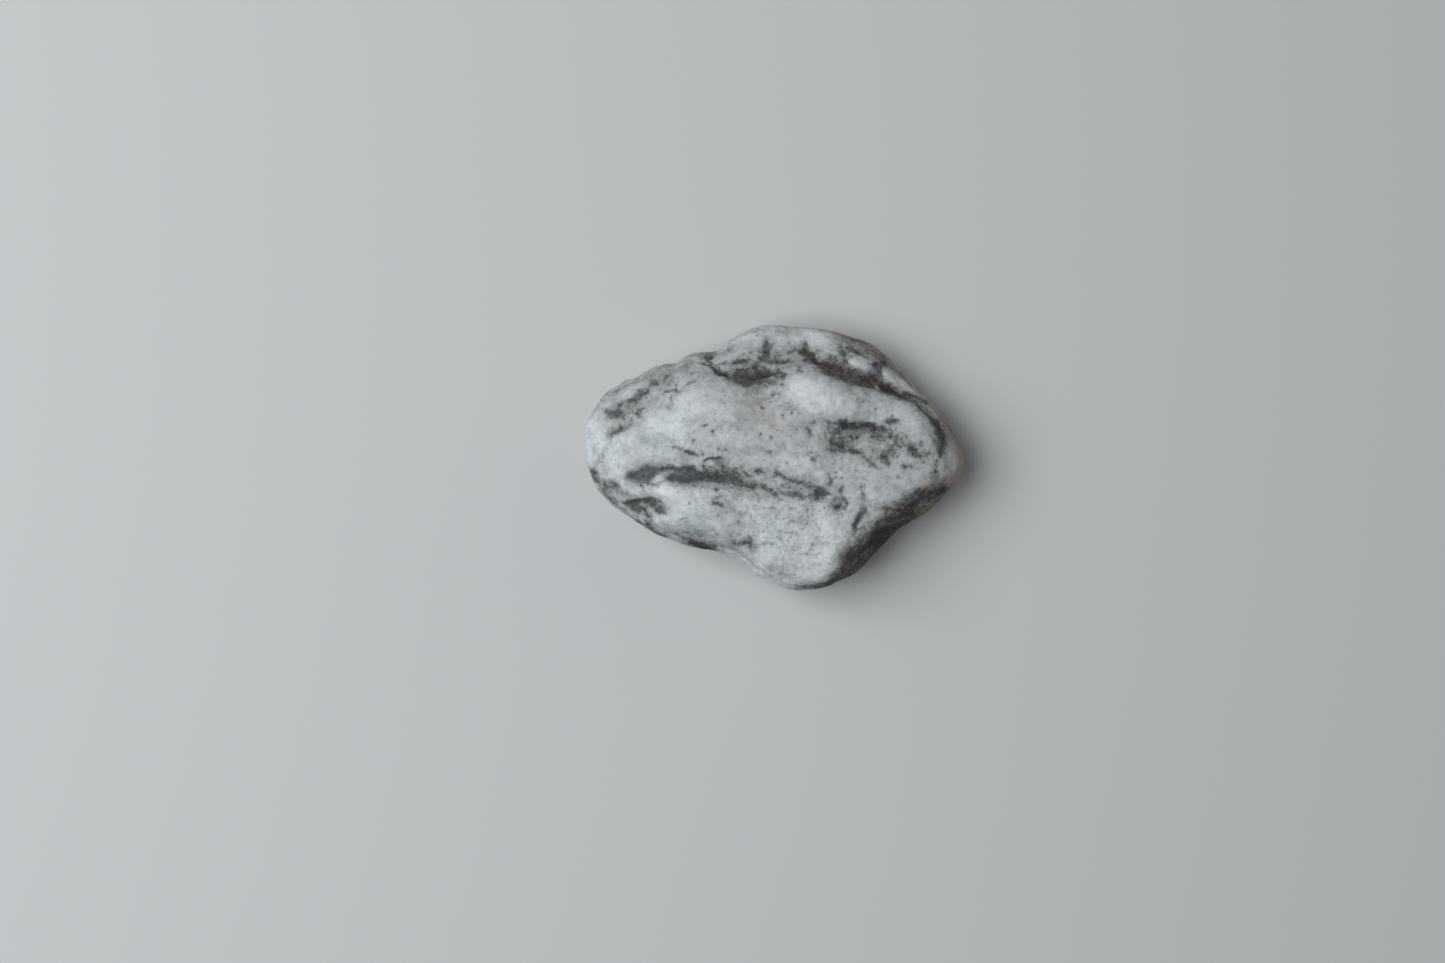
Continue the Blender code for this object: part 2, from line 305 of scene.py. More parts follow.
SCARPS = (
    # the crown's sharp edge over the rear pocket
    Scarp(0.5, 2.2, (
        (-9.4, 12.9, 0.0), (-7.9, 12.2, 0.15), (-6.0, 11.7, 0.2), (-4.4, 11.1, 0.15), (-2.6, 10.8, 0.0),
    )),
    # the crown's edge over the trough
    Scarp(0.5, 1.8, (
        (8.0, 12.9, 0.0), (9.6, 12.3, 0.4), (12.0, 11.9, 0.5), (14.0, 11.3, 0.55), (16.0, 10.7, 0.5),
        (18.0, 9.9, 0.45), (20.0, 9.0, 0.3), (22.0, 8.0, 0.0),
    )),
    # the inner line along the north-east rim
    Scarp(0.4, 1.2, (
        (21.4, 8.7, 0.0), (22.9, 7.6, 0.25), (24.5, 6.0, 0.35), (25.4, 4.6, 0.4), (26.0, 3.3, 0.3),
        (26.2, 1.2, 0.0),
    )),
    # the upper edge of the dent in the south-west shoulder
    Scarp(0.4, 1.6, (
        (-17.0, -8.8, 0.0), (-17.4, -7.6, 0.35), (-18.4, -6.8, 0.4), (-20.4, -6.5, 0.35), (-22.6, -6.9, 0.2),
        (-24.0, -7.1, 0.0),
    )),
)

CRACKS = (
    Crack(0.2, (
        (-12.2, 14.9, 0.0), (-11.4, 14.7, 0.12), (-10.3, 14.3, 0.15), (-9.5, 13.7, 0.15),
        (-8.9, 13.1, 0.0),
    )),
    Crack(0.2, ((-10.6, 14.8, 0.0), (-9.7, 14.5, 0.1), (-9.1, 14.0, 0.12), (-8.7, 13.4, 0.0))),
    Crack(0.2, ((-9.8, 14.7, 0.0), (-8.6, 14.6, 0.1), (-7.9, 14.8, 0.1), (-7.5, 15.5, 0.0))),
    Crack(0.2, (
        (-16.3, 10.4, 0.0), (-15.5, 10.2, 0.08), (-14.5, 10.9, 0.08), (-13.5, 11.5, 0.08),
        (-12.6, 11.9, 0.0),
    )),
)

CHIPS = (
    Chip(-9.1, 17.0, 8.2, 1.4, -0.5),
    Chip(-15.6, 14.9, 8.6, 1.3, -0.45),
    Chip(-23.6, 11.8, 8.8, 0.8, 0.35),
    Chip(-5.2, -16.9, 8.0, 1.2, 0.35),
    Chip(-2.9, -18.6, 7.6, 1.1, 0.4),
    Chip(-4.2, -17.7, 8.0, 0.8, -0.35),
    Chip(22.4, -9.9, 5.6, 1.6, -0.45),
    Chip(27.3, -6.0, 5.6, 1.4, -0.4),
    Chip(22.8, 10.7, 6.4, 1.2, -0.3),
    Chip(-20.4, -10.9, 8.4, 1.6, -0.25),
    Chip(17.0, -13.6, 3.2, 2.4, -0.4),
    Chip(9.0, -19.0, 3.6, 2.0, -0.35),
    Chip(-26.6, -5.8, 4.6, 2.6, -0.4),
    Chip(-27.8, 6.4, 5.0, 2.2, -0.35),
    Chip(3.0, 20.0, 4.0, 2.6, -0.45),
    Chip(18.4, 14.4, 3.6, 2.0, -0.35),
    Chip(-13.0, 15.4, 4.4, 2.2, 0.35),
    Chip(28.6, 1.6, 4.2, 1.8, -0.3),
)

# The long dark band across the south of the top.
LONG_BAND = streaks(
    Mineral.DARK,
    (1.0, ((-22.8, -2.95, 0.6), (-21.4, -2.7, 0.9), (-20.0, -2.55, 0.95), (-19.0, -2.3, 0.6))),
    (0.95, ((-19.8, -2.1, 0.5), (-17.8, -1.8, 0.5), (-15.5, -1.6, 0.45), (-13.0, -2.0, 0.45))),
    (0.55, ((-19.8, -3.9, 0.35), (-18.4, -4.4, 0.4))),
    (0.95, ((-17.4, -3.0, 0.3), (-15.4, -3.1, 0.7), (-13.8, -3.3, 0.8), (-12.2, -3.1, 0.7))),
    (1.0, ((-12.6, -3.0, 0.65), (-10.6, -2.8, 0.65), (-8.4, -3.2, 0.85), (-6.4, -3.7, 0.75))),
    (0.8, ((-6.4, -4.0, 0.65), (-4.6, -4.2, 0.7), (-3.2, -4.5, 0.65), (-1.8, -4.9, 0.5))),
    (0.7, ((-1.0, -5.2, 0.4), (0.4, -5.6, 0.7), (2.0, -5.7, 0.5), (3.6, -5.8, 0.4))),
    (0.45, ((3.8, -5.9, 0.35), (5.6, -6.0, 0.45), (6.4, -5.9, 0.5))),
    (1.0, ((6.4, -5.7, 0.75), (7.0, -5.6, 0.8))),
    (0.55, ((-0.2, -2.3, 0.25), (0.9, -3.0, 0.35), (2.2, -3.5, 0.3), (3.7, -4.0, 0.35))),
    (0.45, ((3.7, -4.0, 0.3), (5.2, -4.3, 0.4), (6.4, -4.8, 0.4))),
    (1.0, ((9.5, -7.7, 0.5), (10.0, -7.4, 0.4))),
    (0.6, ((9.3, -6.2, 0.3), (10.2, -6.3, 0.4), (10.8, -7.0, 0.35), (10.6, -8.2, 0.35))),
    (0.7, ((9.8, -5.4, 0.3), (10.2, -4.7, 0.35))),
    (0.7, ((7.9, -2.7, 0.2), (8.1, -3.4, 0.28), (8.1, -4.2, 0.25))),
    (0.6, ((8.9, -3.1, 0.2), (8.3, -3.5, 0.25), (7.7, -3.9, 0.2))),
    (0.2, ((-10.2, -1.3, 0.5), (-8.8, -1.2, 0.6), (-7.6, -1.5, 0.5))),
) + streaks(
    Mineral.HAZE,
    (0.6, ((-11.0, -1.8, 0.5), (-9.4, -1.8, 0.9), (-8.0, -1.9, 0.6), (-5.4, -1.8, 0.4))),
    (0.6, ((-16.8, -2.6, 0.7), (-14.2, -2.5, 0.6), (-12.0, -2.7, 0.6))),
    (0.35, ((0.0, -4.2, 0.8), (3.0, -4.8, 0.7), (6.0, -5.0, 0.7), (9.8, -6.6, 0.8))),
    (0.25, ((-5.4, -5.3, 0.5), (-3.0, -5.4, 0.5), (-0.4, -5.9, 0.4))),
    (0.6, ((-5.4, -1.6, 1.1), (-1.8, -2.2, 1.3), (2.4, -3.0, 0.8))),
    (0.3, ((-24.6, -3.8, 0.8), (-22.6, -3.8, 0.4), (-18.0, -4.0, 0.4))),
) + streaks(
    Mineral.OLIVE,
    (0.7, ((-11.0, -1.6, 0.8), (-8.0, -1.4, 0.9), (-5.4, -2.6, 0.8))),
    (0.6, ((-5.2, -5.2, 0.6), (-2.6, -5.4, 0.6))),
)

# The twig-like line over the band, and the marks in the middle of the top.
MIDDLE_MARKS = streaks(
    Mineral.DARK,
    (0.9, ((-11.2, -0.7, 0.14), (-10.4, -0.2, 0.17), (-9.5, 0.0, 0.17), (-8.4, 0.0, 0.14))),
    (0.7, ((-14.1, 0.8, 0.28), (-13.2, 0.7, 0.36), (-12.5, 0.45, 0.28))),
    (0.45, ((-16.1, 1.5, 0.2), (-15.4, 1.5, 0.22))),
    (0.5, ((-1.3, 0.9, 0.3), (-1.0, 0.7, 0.3))),
    (0.6, ((-3.1, -2.2, 0.3), (-2.6, -2.1, 0.3))),
    (0.4, ((-4.6, -2.6, 0.3), (-3.9, -2.9, 0.3))),
    (0.7, ((5.3, -0.1, 0.22), (5.7, -0.6, 0.25))),
) + streaks(
    Mineral.HAZE,
    (0.7, ((-15.0, 0.8, 0.5), (-13.6, 0.4, 0.7), (-12.2, 0.1, 0.5))),
    (0.8, ((-10.0, -0.4, 0.4), (-8.6, -0.4, 0.55), (-7.6, -0.5, 0.4))),
    (0.6, ((-20.6, 1.6, 1.2), (-15.0, 1.8, 1.4), (-9.0, 1.6, 1.3), (-5.6, 1.0, 1.0))),
    (0.45, ((-14.6, 5.6, 0.9), (-10.4, 5.0, 1.2), (-6.4, 4.0, 1.0))),
    (0.8, ((-5.6, 11.0, 1.2), (-2.6, 10.0, 1.8), (0.8, 9.0, 1.4), (2.6, 7.4, 1.0))),
    (0.25, ((-3.6, 6.6, 1.6), (0.4, 4.8, 1.8), (3.6, 5.2, 1.3))),
    (0.45, ((-2.6, 1.4, 0.9), (0.6, 1.2, 1.1), (3.4, 1.2, 1.2), (5.6, 0.3, 0.9))),
    (0.5, ((-7.2, 5.2, 0.5), (-6.2, 4.0, 0.7))),
) + streaks(
    Mineral.WARM,
    (0.6, ((-3.6, 7.6, 3.0), (-0.4, 5.4, 3.4), (2.4, 4.0, 2.6))),
    (0.3, ((-10.4, 3.4, 2.6), (-5.6, 2.4, 2.6))),
) + dots(Mineral.DARK, 0.72, 0.2, (
    (-12.8, 2.7), (-11.1, 4.8), (-10.0, 3.9), (-9.0, 1.3), (-14.8, 1.4), (-11.6, 0.3), (-11.2, -1.4),
    (-2.2, 7.6), (-0.7, 9.4), (0.8, 11.1), (2.1, 6.6), (-2.5, 3.3), (12.1, 8.6), (13.6, 8.7),
    (-10.7, 15.2),
)) + dots(Mineral.DARK, 0.45, 0.18, (
    (-10.7, 2.8), (-7.9, 1.3), (-11.0, 9.3), (-14.2, 7.2), (0.8, 5.8), (-4.9, 3.3), (2.0, 2.9),
    (10.0, 9.4), (9.2, 9.4), (8.5, 11.0), (8.7, -1.2), (8.6, 0.1), (-19.8, 2.9), (-20.3, 4.1),
    (-17.7, 5.3), (-6.0, 5.9), (-14.0, 10.2), (-8.2, 8.4), (6.8, 7.7), (3.1, 4.2), (1.6, -1.0),
    (-2.2, -0.4), (-15.8, -0.3),
)) + dots(Mineral.WHITE, 0.8, 0.22, ((5.0, -0.1),))

# The mottled west end and the north-west shoulder, with painted shade along the north-west rim.
WEST_MARKS = streaks(
    Mineral.DARK,
    (0.42, ((-26.7, 7.0, 0.4), (-25.7, 6.8, 0.7), (-24.6, 7.1, 0.7))),
    (0.35, ((-25.0, 6.1, 0.4), (-24.0, 6.6, 0.5), (-23.0, 7.4, 0.45))),
    (0.55, ((-24.6, 8.1, 0.3), (-24.2, 8.7, 0.35))),
    (0.45, ((-23.2, 8.8, 0.35), (-22.1, 9.2, 0.5), (-21.3, 9.6, 0.45), (-20.5, 9.8, 0.3))),
    (0.5, ((-21.9, 10.6, 0.2), (-21.3, 10.3, 0.25))),
    (0.85, ((-20.1, 10.2, 0.24),)),
    (0.38, ((-20.6, 7.7, 0.2), (-21.3, 7.1, 0.28), (-21.8, 6.6, 0.3), (-20.8, 6.2, 0.22))),
    (0.4, ((-25.7, 3.4, 0.4), (-25.0, 3.7, 0.5), (-24.3, 4.4, 0.5))),
    (0.2, ((-24.3, 4.3, 0.35), (-23.2, 4.7, 0.4), (-22.2, 5.6, 0.35))),
    (0.4, ((-26.2, 3.5, 0.3), (-26.5, 2.9, 0.25))),
    (0.25, ((-27.0, 1.5, 0.25), (-27.3, 0.8, 0.25), (-27.4, 0.1, 0.25))),
    (0.5, ((-27.9, 0.1, 0.25), (-27.9, -0.5, 0.35), (-27.4, -0.6, 0.3))),
    (0.85, ((-29.0, -2.0, 0.35), (-28.8, -2.8, 0.4), (-28.4, -3.6, 0.35))),
    (0.4, ((-28.9, 1.7, 0.3), (-28.9, 0.9, 0.35))),
    (0.6, ((-25.8, -3.5, 0.4), (-25.2, -4.1, 0.5), (-24.6, -4.4, 0.35))),
    (0.5, ((-27.0, -4.1, 0.3), (-26.6, -4.9, 0.3))),
    (0.45, ((-19.9, 11.9, 0.25), (-19.2, 11.6, 0.3), (-18.6, 11.3, 0.2))),
    (0.36, ((-17.4, 12.4, 0.45), (-16.8, 12.8, 0.4))),
    (0.62, ((-17.4, 10.3, 0.15), (-16.3, 10.4, 0.2), (-15.6, 10.2, 0.3), (-15.2, 10.3, 0.2))),
    (0.55, ((-15.2, 10.3, 0.15), (-14.3, 11.0, 0.2), (-13.6, 11.4, 0.22), (-12.8, 11.8, 0.15))),
    (0.55, ((-15.9, 10.6, 0.2), (-15.6, 11.2, 0.2))),
    (0.5, ((-16.6, 9.3, 0.2), (-16.5, 8.8, 0.22), (-16.2, 8.3, 0.2))),
    (0.4, ((-17.3, 7.9, 0.2), (-16.8, 7.4, 0.25))),
    (0.75, ((-11.0, 15.6, 0.22), (-10.3, 15.8, 0.28))),
    (0.8, ((-12.0, 14.8, 0.12), (-11.0, 14.6, 0.16), (-10.0, 14.1, 0.16), (-9.1, 13.3, 0.18))),
    (0.65, ((-10.5, 14.8, 0.12), (-9.4, 14.4, 0.14), (-8.8, 13.6, 0.15))),
    (0.65, ((-9.6, 14.7, 0.12), (-8.2, 14.7, 0.18), (-7.6, 15.4, 0.15))),
) + streaks(
    Mineral.HAZE,
    (0.8, ((-25.8, 4.1, 1.0), (-24.0, 5.4, 1.3), (-22.0, 6.8, 1.1))),
    (0.8, ((-26.2, 6.8, 1.0), (-23.8, 7.8, 1.2), (-20.6, 9.4, 0.9))),
    (0.75, ((-28.0, -3.0, 0.7), (-26.4, -4.6, 0.9), (-24.4, -5.4, 0.8), (-22.4, -6.0, 0.5))),
    (0.15, ((-27.6, 1.0, 0.5), (-27.4, -0.4, 0.6))),
    (0.9, ((-19.6, 11.0, 1.0), (-17.0, 12.0, 1.1), (-14.0, 13.0, 1.3), (-10.4, 13.3, 1.0))),
    (0.5, ((-17.6, 12.4, 0.7), (-16.4, 12.8, 0.6))),
    (0.45, ((-18.8, 8.6, 0.9), (-16.8, 8.4, 0.7), (-17.4, 10.4, 0.6))),
    # A thin haze along the north-west rim: painted shade of the strip where the rim turns away from the
    # light.
    (0.9, ((-29.2, 6.6, 0.4), (-27.1, 9.7, 0.4), (-24.2, 11.6, 0.4), (-20.2, 13.4, 0.4), (-16.8, 14.5, 0.4))),
    (0.8, ((-13.4, 16.0, 0.4), (-11.6, 16.1, 0.55), (-9.6, 16.3, 0.4))),
) + streaks(
    Mineral.OLIVE,
    (0.5, ((-25.0, 4.6, 1.2), (-21.4, 7.0, 1.3))),
) + streaks(
    Mineral.WARM,
    (0.5, ((-21.0, 12.0, 1.2), (-15.0, 14.0, 1.6), (-10.0, 15.4, 1.0))),
)

# The pocket, the trough and the rib along the rear, with haze and warm brown along the north-east rim that
# are partly painted shade.
REAR_MARKS = streaks(
    Mineral.DARK,
    (0.5, ((-7.6, 12.4, 0.25), (-6.6, 12.2, 0.35), (-5.4, 11.8, 0.4), (-4.2, 11.4, 0.3))),
    (0.55, ((-6.6, 12.8, 0.3), (-5.6, 13.0, 0.6), (-3.8, 13.1, 0.95), (-1.6, 13.1, 0.65))),
    (0.5, ((-3.4, 11.9, 0.45), (-1.8, 11.8, 0.35), (-0.5, 11.5, 0.25))),
    (0.62, ((-2.4, 12.9, 0.35), (-1.0, 12.9, 0.4), (0.6, 12.7, 0.35), (1.2, 12.7, 0.3))),
    (0.5, ((-6.0, 13.5, 0.13), (-4.6, 13.8, 0.15), (-3.8, 13.9, 0.17), (-2.8, 13.5, 0.17))),
    (1.0, ((-9.2, 13.2, 0.3), (-8.6, 12.9, 0.42), (-7.9, 12.7, 0.3))),
    (0.65, ((-6.8, 14.4, 0.3), (-5.9, 14.7, 0.35), (-4.9, 14.9, 0.35), (-4.2, 15.0, 0.25))),
    (0.5, ((-3.4, 14.2, 0.3), (-2.4, 14.6, 0.35))),
    (0.55, ((-2.6, 15.4, 0.3), (-1.0, 15.0, 0.4), (0.2, 14.7, 0.45), (1.6, 15.0, 0.3))),
    (0.62, ((-1.5, 18.6, 0.3), (-1.6, 17.5, 0.5), (-1.3, 16.4, 0.42), (-1.2, 15.4, 0.35))),
    (0.36, ((-0.5, 17.6, 0.3), (-0.8, 16.8, 0.3))),
    (0.85, ((4.3, 18.2, 0.3), (4.8, 17.4, 0.55), (5.0, 16.4, 0.65), (5.8, 15.6, 0.6))),
    (0.36, ((2.4, 16.6, 0.4), (3.2, 17.0, 0.4), (3.8, 16.4, 0.4))),
    (0.62, ((5.2, 15.8, 0.5), (6.2, 15.2, 0.5), (7.2, 14.7, 0.5), (8.2, 14.0, 0.55))),
    (1.0, ((6.2, 14.8, 0.45), (8.2, 13.7, 0.85), (10.0, 13.0, 1.05), (11.8, 12.5, 1.1))),
    (1.0, ((11.8, 12.5, 1.1), (13.8, 12.1, 1.1), (15.6, 11.7, 1.0), (17.2, 11.0, 0.75))),
    (1.0, ((17.0, 11.0, 0.65), (18.3, 10.3, 0.65), (19.4, 9.4, 0.45))),
    (0.6, ((8.0, 13.2, 0.25), (9.8, 12.4, 0.3), (12.0, 11.8, 0.3), (14.2, 11.2, 0.3), (16.4, 10.7, 0.2))),
    (0.45, ((19.3, 9.3, 0.25), (20.4, 8.9, 0.22), (21.6, 8.3, 0.22))),
    (0.85, ((20.2, 10.2, 0.3), (21.4, 9.9, 0.45), (22.8, 9.4, 0.38), (23.8, 8.7, 0.25))),
    (0.8, ((21.8, 8.1, 0.2), (22.8, 7.2, 0.3), (23.8, 6.4, 0.36), (24.6, 5.6, 0.42))),
    (1.0, ((24.4, 5.8, 0.4), (25.2, 4.6, 0.7), (25.7, 3.7, 0.65), (26.0, 3.0, 0.45))),
    (0.6, ((25.9, 2.8, 0.3), (26.0, 1.9, 0.45), (25.7, 1.0, 0.45), (25.5, 0.2, 0.35))),
    (0.62, ((3.3, 13.5, 0.25), (4.0, 13.1, 0.25))),
    (0.5, ((10.0, 17.4, 0.35), (10.4, 16.6, 0.45), (11.0, 15.4, 0.5), (11.0, 14.6, 0.35))),
    (0.5, ((11.3, 17.2, 0.3), (12.6, 16.8, 0.35), (14.2, 16.0, 0.35))),
    (1.0, ((15.6, 14.6, 0.5), (16.4, 13.9, 0.75), (16.2, 13.0, 0.7), (15.4, 12.4, 0.6))),
    (0.7, ((16.4, 14.6, 0.3), (17.2, 14.5, 0.25))),
    (0.3, ((9.2, 15.2, 0.35), (10.6, 14.4, 0.35))),
    (0.45, ((7.8, 12.9, 0.25), (8.6, 12.3, 0.25), (8.4, 11.2, 0.2))),
) + streaks(
    Mineral.HAZE,
    (0.7, ((-8.0, 12.8, 0.7), (-3.4, 12.5, 1.5), (0.4, 12.8, 1.1), (3.6, 13.8, 0.9))),
    (0.75, ((-7.4, 14.8, 0.4), (-6.0, 15.2, 0.7), (-3.4, 16.2, 0.9), (-0.4, 15.6, 1.1), (1.8, 14.6, 0.9))),
    (0.5, ((-5.4, 11.0, 0.5), (-3.4, 10.6, 0.7), (-1.0, 10.8, 0.6))),
    (0.6, ((-7.8, 17.2, 0.5), (-6.8, 17.6, 0.7), (-5.0, 19.2, 0.4), (-3.0, 20.0, 0.4))),
    (0.5, ((-1.6, 17.8, 0.6), (-1.0, 16.4, 0.7))),
    (0.45, ((0.6, 19.8, 0.6), (4.0, 19.6, 0.6), (7.0, 19.6, 0.5))),
    (0.65, ((1.4, 15.4, 0.7), (2.6, 16.6, 0.9), (4.8, 17.0, 1.1), (6.6, 16.6, 0.9))),
    (0.9, ((5.0, 14.8, 1.0), (8.0, 15.2, 1.2), (10.6, 16.2, 1.4), (13.0, 16.6, 0.8))),
    # Haze along the north-east rim: partly stain, partly painted shade where the rim lies on the far side
    # from the light.
    (1.0, ((9.4, 18.9, 0.8), (12.6, 18.0, 1.0), (15.6, 16.5, 1.0), (19.0, 13.6, 0.8))),
    (0.8, ((17.4, 10.7, 0.7), (20.2, 9.6, 0.8), (22.4, 8.0, 0.7), (24.8, 5.6, 0.8), (26.2, 2.8, 1.0))),
) + streaks(
    Mineral.OLIVE,
    (0.6, ((-7.0, 12.4, 1.2), (-3.4, 12.4, 1.8), (0.8, 13.2, 1.4), (4.8, 15.0, 1.4))),
    (0.8, ((5.0, 16.8, 1.4), (8.4, 14.2, 1.5), (12.2, 12.6, 1.5), (17.4, 11.0, 1.2))),
) + streaks(
    Mineral.WARM,
    (1.0, ((13.8, 12.3, 0.3), (14.3, 12.2, 0.25))),
    # Warm brown along the north and north-east rim: partly the stone's warm tint, partly painted shade of the
    # rim's far side from the light.
    (1.0, ((3.0, 20.6, 0.2), (6.0, 20.3, 0.4), (9.0, 19.8, 0.8), (13.0, 18.6, 1.1), (17.0, 16.2, 1.2))),
    (1.0, ((17.0, 16.2, 1.2), (20.6, 12.6, 1.1), (24.8, 8.6, 1.1), (27.8, 4.6, 0.9))),
) + streaks(
    Mineral.WHITE,
    (0.9, ((12.4, 14.9, 0.5), (13.1, 14.6, 0.65), (13.9, 14.1, 0.45))),
    (0.9, ((17.3, 13.1, 0.55), (17.9, 12.6, 0.65), (18.5, 12.0, 0.35))),
    (0.9, ((15.8, 11.0, 0.26),)),
    (0.8, ((3.6, 10.9, 1.5), (6.2, 10.1, 1.8), (9.0, 8.5, 1.8), (11.2, 7.4, 1.2))),
    (0.3, ((-18.6, -3.2, 0.3), (-17.6, -2.9, 0.3), (-16.8, -2.7, 0.2))),
    (0.6, ((1.0, 18.4, 0.9), (3.0, 18.6, 0.9))),
    (0.9, ((5.8, 18.8, 1.2), (8.4, 18.0, 1.2))),
) + dots(Mineral.DARK, 0.75, 0.22, (
    (1.2, 12.2), (8.5, 15.7), (18.6, 11.7), (0.4, 13.4), (2.0, 18.8), (2.0, 18.0),
))

# The dark patch in the east hollow, and the marks out to the tip, whose haze and warm brown round its edge
# are partly painted shade.
EAST_MARKS = streaks(
    Mineral.DARK,
    (0.62, ((4.5, 4.5, 0.3), (5.0, 4.1, 0.4), (5.2, 3.4, 0.35))),
    (0.7, ((7.3, 5.6, 0.2), (8.6, 5.3, 0.27), (9.8, 5.4, 0.27), (10.6, 5.1, 0.3))),
    (1.0, ((10.2, 5.0, 0.45), (11.6, 4.9, 0.6), (13.0, 4.8, 0.6), (14.6, 4.9, 0.45))),
    (0.4, ((14.4, 5.0, 0.25), (15.4, 5.0, 0.2))),
    (0.6, ((15.2, 4.4, 0.45), (16.6, 4.4, 0.4), (17.4, 4.2, 0.4))),
    (0.9, ((16.3, 4.8, 0.25),)),
    (0.7, ((16.8, 5.4, 0.25), (17.8, 5.5, 0.42), (18.8, 5.7, 0.3))),
    (0.24, ((15.8, 3.4, 0.5), (17.0, 3.0, 0.8), (17.9, 2.8, 0.8), (18.8, 2.4, 0.5))),
    (0.4, ((8.8, 4.0, 0.5), (9.8, 3.2, 0.8), (10.2, 2.2, 0.8))),
    (0.5, ((8.2, 2.4, 0.3), (8.8, 2.3, 0.42), (9.6, 1.9, 0.4))),
    (0.25, ((8.2, 1.4, 0.4), (9.8, 1.0, 0.5), (11.0, 1.2, 0.5))),
    (0.7, ((11.3, 1.0, 0.3), (12.0, 0.7, 0.4), (12.7, 0.6, 0.28))),
    (0.55, ((6.2, 3.0, 0.25), (6.6, 2.6, 0.25))),
    (0.5, ((13.6, 0.2, 0.25), (14.2, -0.5, 0.4), (14.9, -1.1, 0.35), (16.0, -1.7, 0.2))),
    (0.6, ((16.2, 0.0, 0.25), (16.8, -0.6, 0.33), (17.1, -1.2, 0.25))),
    (0.66, ((20.6, 1.3, 0.3), (21.3, 1.2, 0.35), (21.6, 0.5, 0.35), (22.2, 0.0, 0.3))),
    (0.3, ((16.6, 0.9, 0.4), (18.0, 0.8, 0.4))),
    (0.5, ((23.2, 0.6, 0.35), (23.9, 0.5, 0.3))),
    (0.4, ((19.6, -1.4, 0.2), (20.6, -1.3, 0.22), (21.4, -1.2, 0.18))),
    (0.4, ((24.4, -1.6, 0.3), (24.7, -2.4, 0.35))),
) + streaks(
    Mineral.HAZE,
    (0.85, ((8.4, 4.2, 0.6), (10.2, 3.6, 1.2), (14.0, 3.6, 0.9), (17.0, 3.2, 1.5), (18.8, 3.0, 1.3))),
    (0.65, ((8.4, 2.0, 1.2), (11.6, 1.4, 1.2), (14.6, 0.0, 1.0))),
    (0.6, ((16.4, -0.2, 0.8), (19.0, 0.6, 1.2), (22.4, 1.2, 1.5), (26.2, 1.0, 1.5))),
    (0.6, ((18.0, 5.6, 0.9), (19.2, 4.4, 1.2))),
    (0.35, ((5.6, 6.2, 0.6), (8.0, 6.2, 0.4))),
    (0.85, ((26.0, 0.6, 1.0), (25.6, -1.2, 1.1), (24.8, -3.2, 0.7))),
    (0.6, ((26.8, 3.6, 0.6), (26.0, 1.4, 0.8))),
    # Haze round the east tip's edge: partly stain, partly painted shade of the tip, which faces away from the
    # light.
    (0.7, ((27.6, 4.6, 0.5), (29.3, 1.6, 0.5), (29.6, -1.6, 0.5), (28.2, -3.8, 0.6))),
    (0.3, ((14.2, -7.0, 0.8), (15.4, -7.8, 0.8))),
) + streaks(
    Mineral.OLIVE,
    (0.8, ((15.0, 4.2, 0.8), (17.4, 4.0, 0.9), (18.6, 2.2, 0.8))),
    (0.5, ((8.4, 4.4, 1.2), (12.0, 2.2, 1.3))),
) + streaks(
    Mineral.WHITE,
    (0.25, ((20.2, 6.6, 0.9), (22.0, 5.4, 1.2), (23.4, 3.4, 0.8))),
    (0.4, ((27.4, 0.2, 0.6), (27.9, -1.2, 0.6))),
    (0.5, ((16.6, -5.2, 0.9), (18.8, -5.6, 0.8))),
) + streaks(
    Mineral.WARM,
    # Warm brown round the east tip: partly its own warm tint, partly painted shade of the tip's far side from
    # the light.
    (1.0, ((27.4, 4.0, 1.0), (29.0, 1.0, 1.2), (29.2, -1.6, 1.2), (27.4, -4.0, 1.4), (23.6, -5.0, 1.2))),
    (0.35, ((16.0, -2.0, 3.0), (20.0, -2.4, 3.0), (24.4, -1.6, 2.4))),
) + dots(Mineral.DARK, 0.75, 0.22, (
    (7.4, 3.6), (7.6, 3.0), (11.3, 3.2), (12.3, 2.9), (18.8, -2.9), (12.4, -2.1), (20.0, -1.4),
    (25.2, -0.8), (26.7, -1.4), (18.9, 1.8), (17.6, 1.2), (5.7, 5.3),
)) + dots(Mineral.DARK, 0.45, 0.18, (
    (19.7, -2.4), (23.1, -3.0), (25.3, -3.9), (22.6, 4.9), (14.4, -3.0), (17.4, -2.9), (19.0, -4.9),
    (20.7, -3.4), (21.9, 7.2), (17.9, 7.3), (22.5, 2.0), (24.6, 2.6), (15.4, 8.6), (11.4, 10.4),
    (19.4, -5.4), (13.5, -3.4),
))
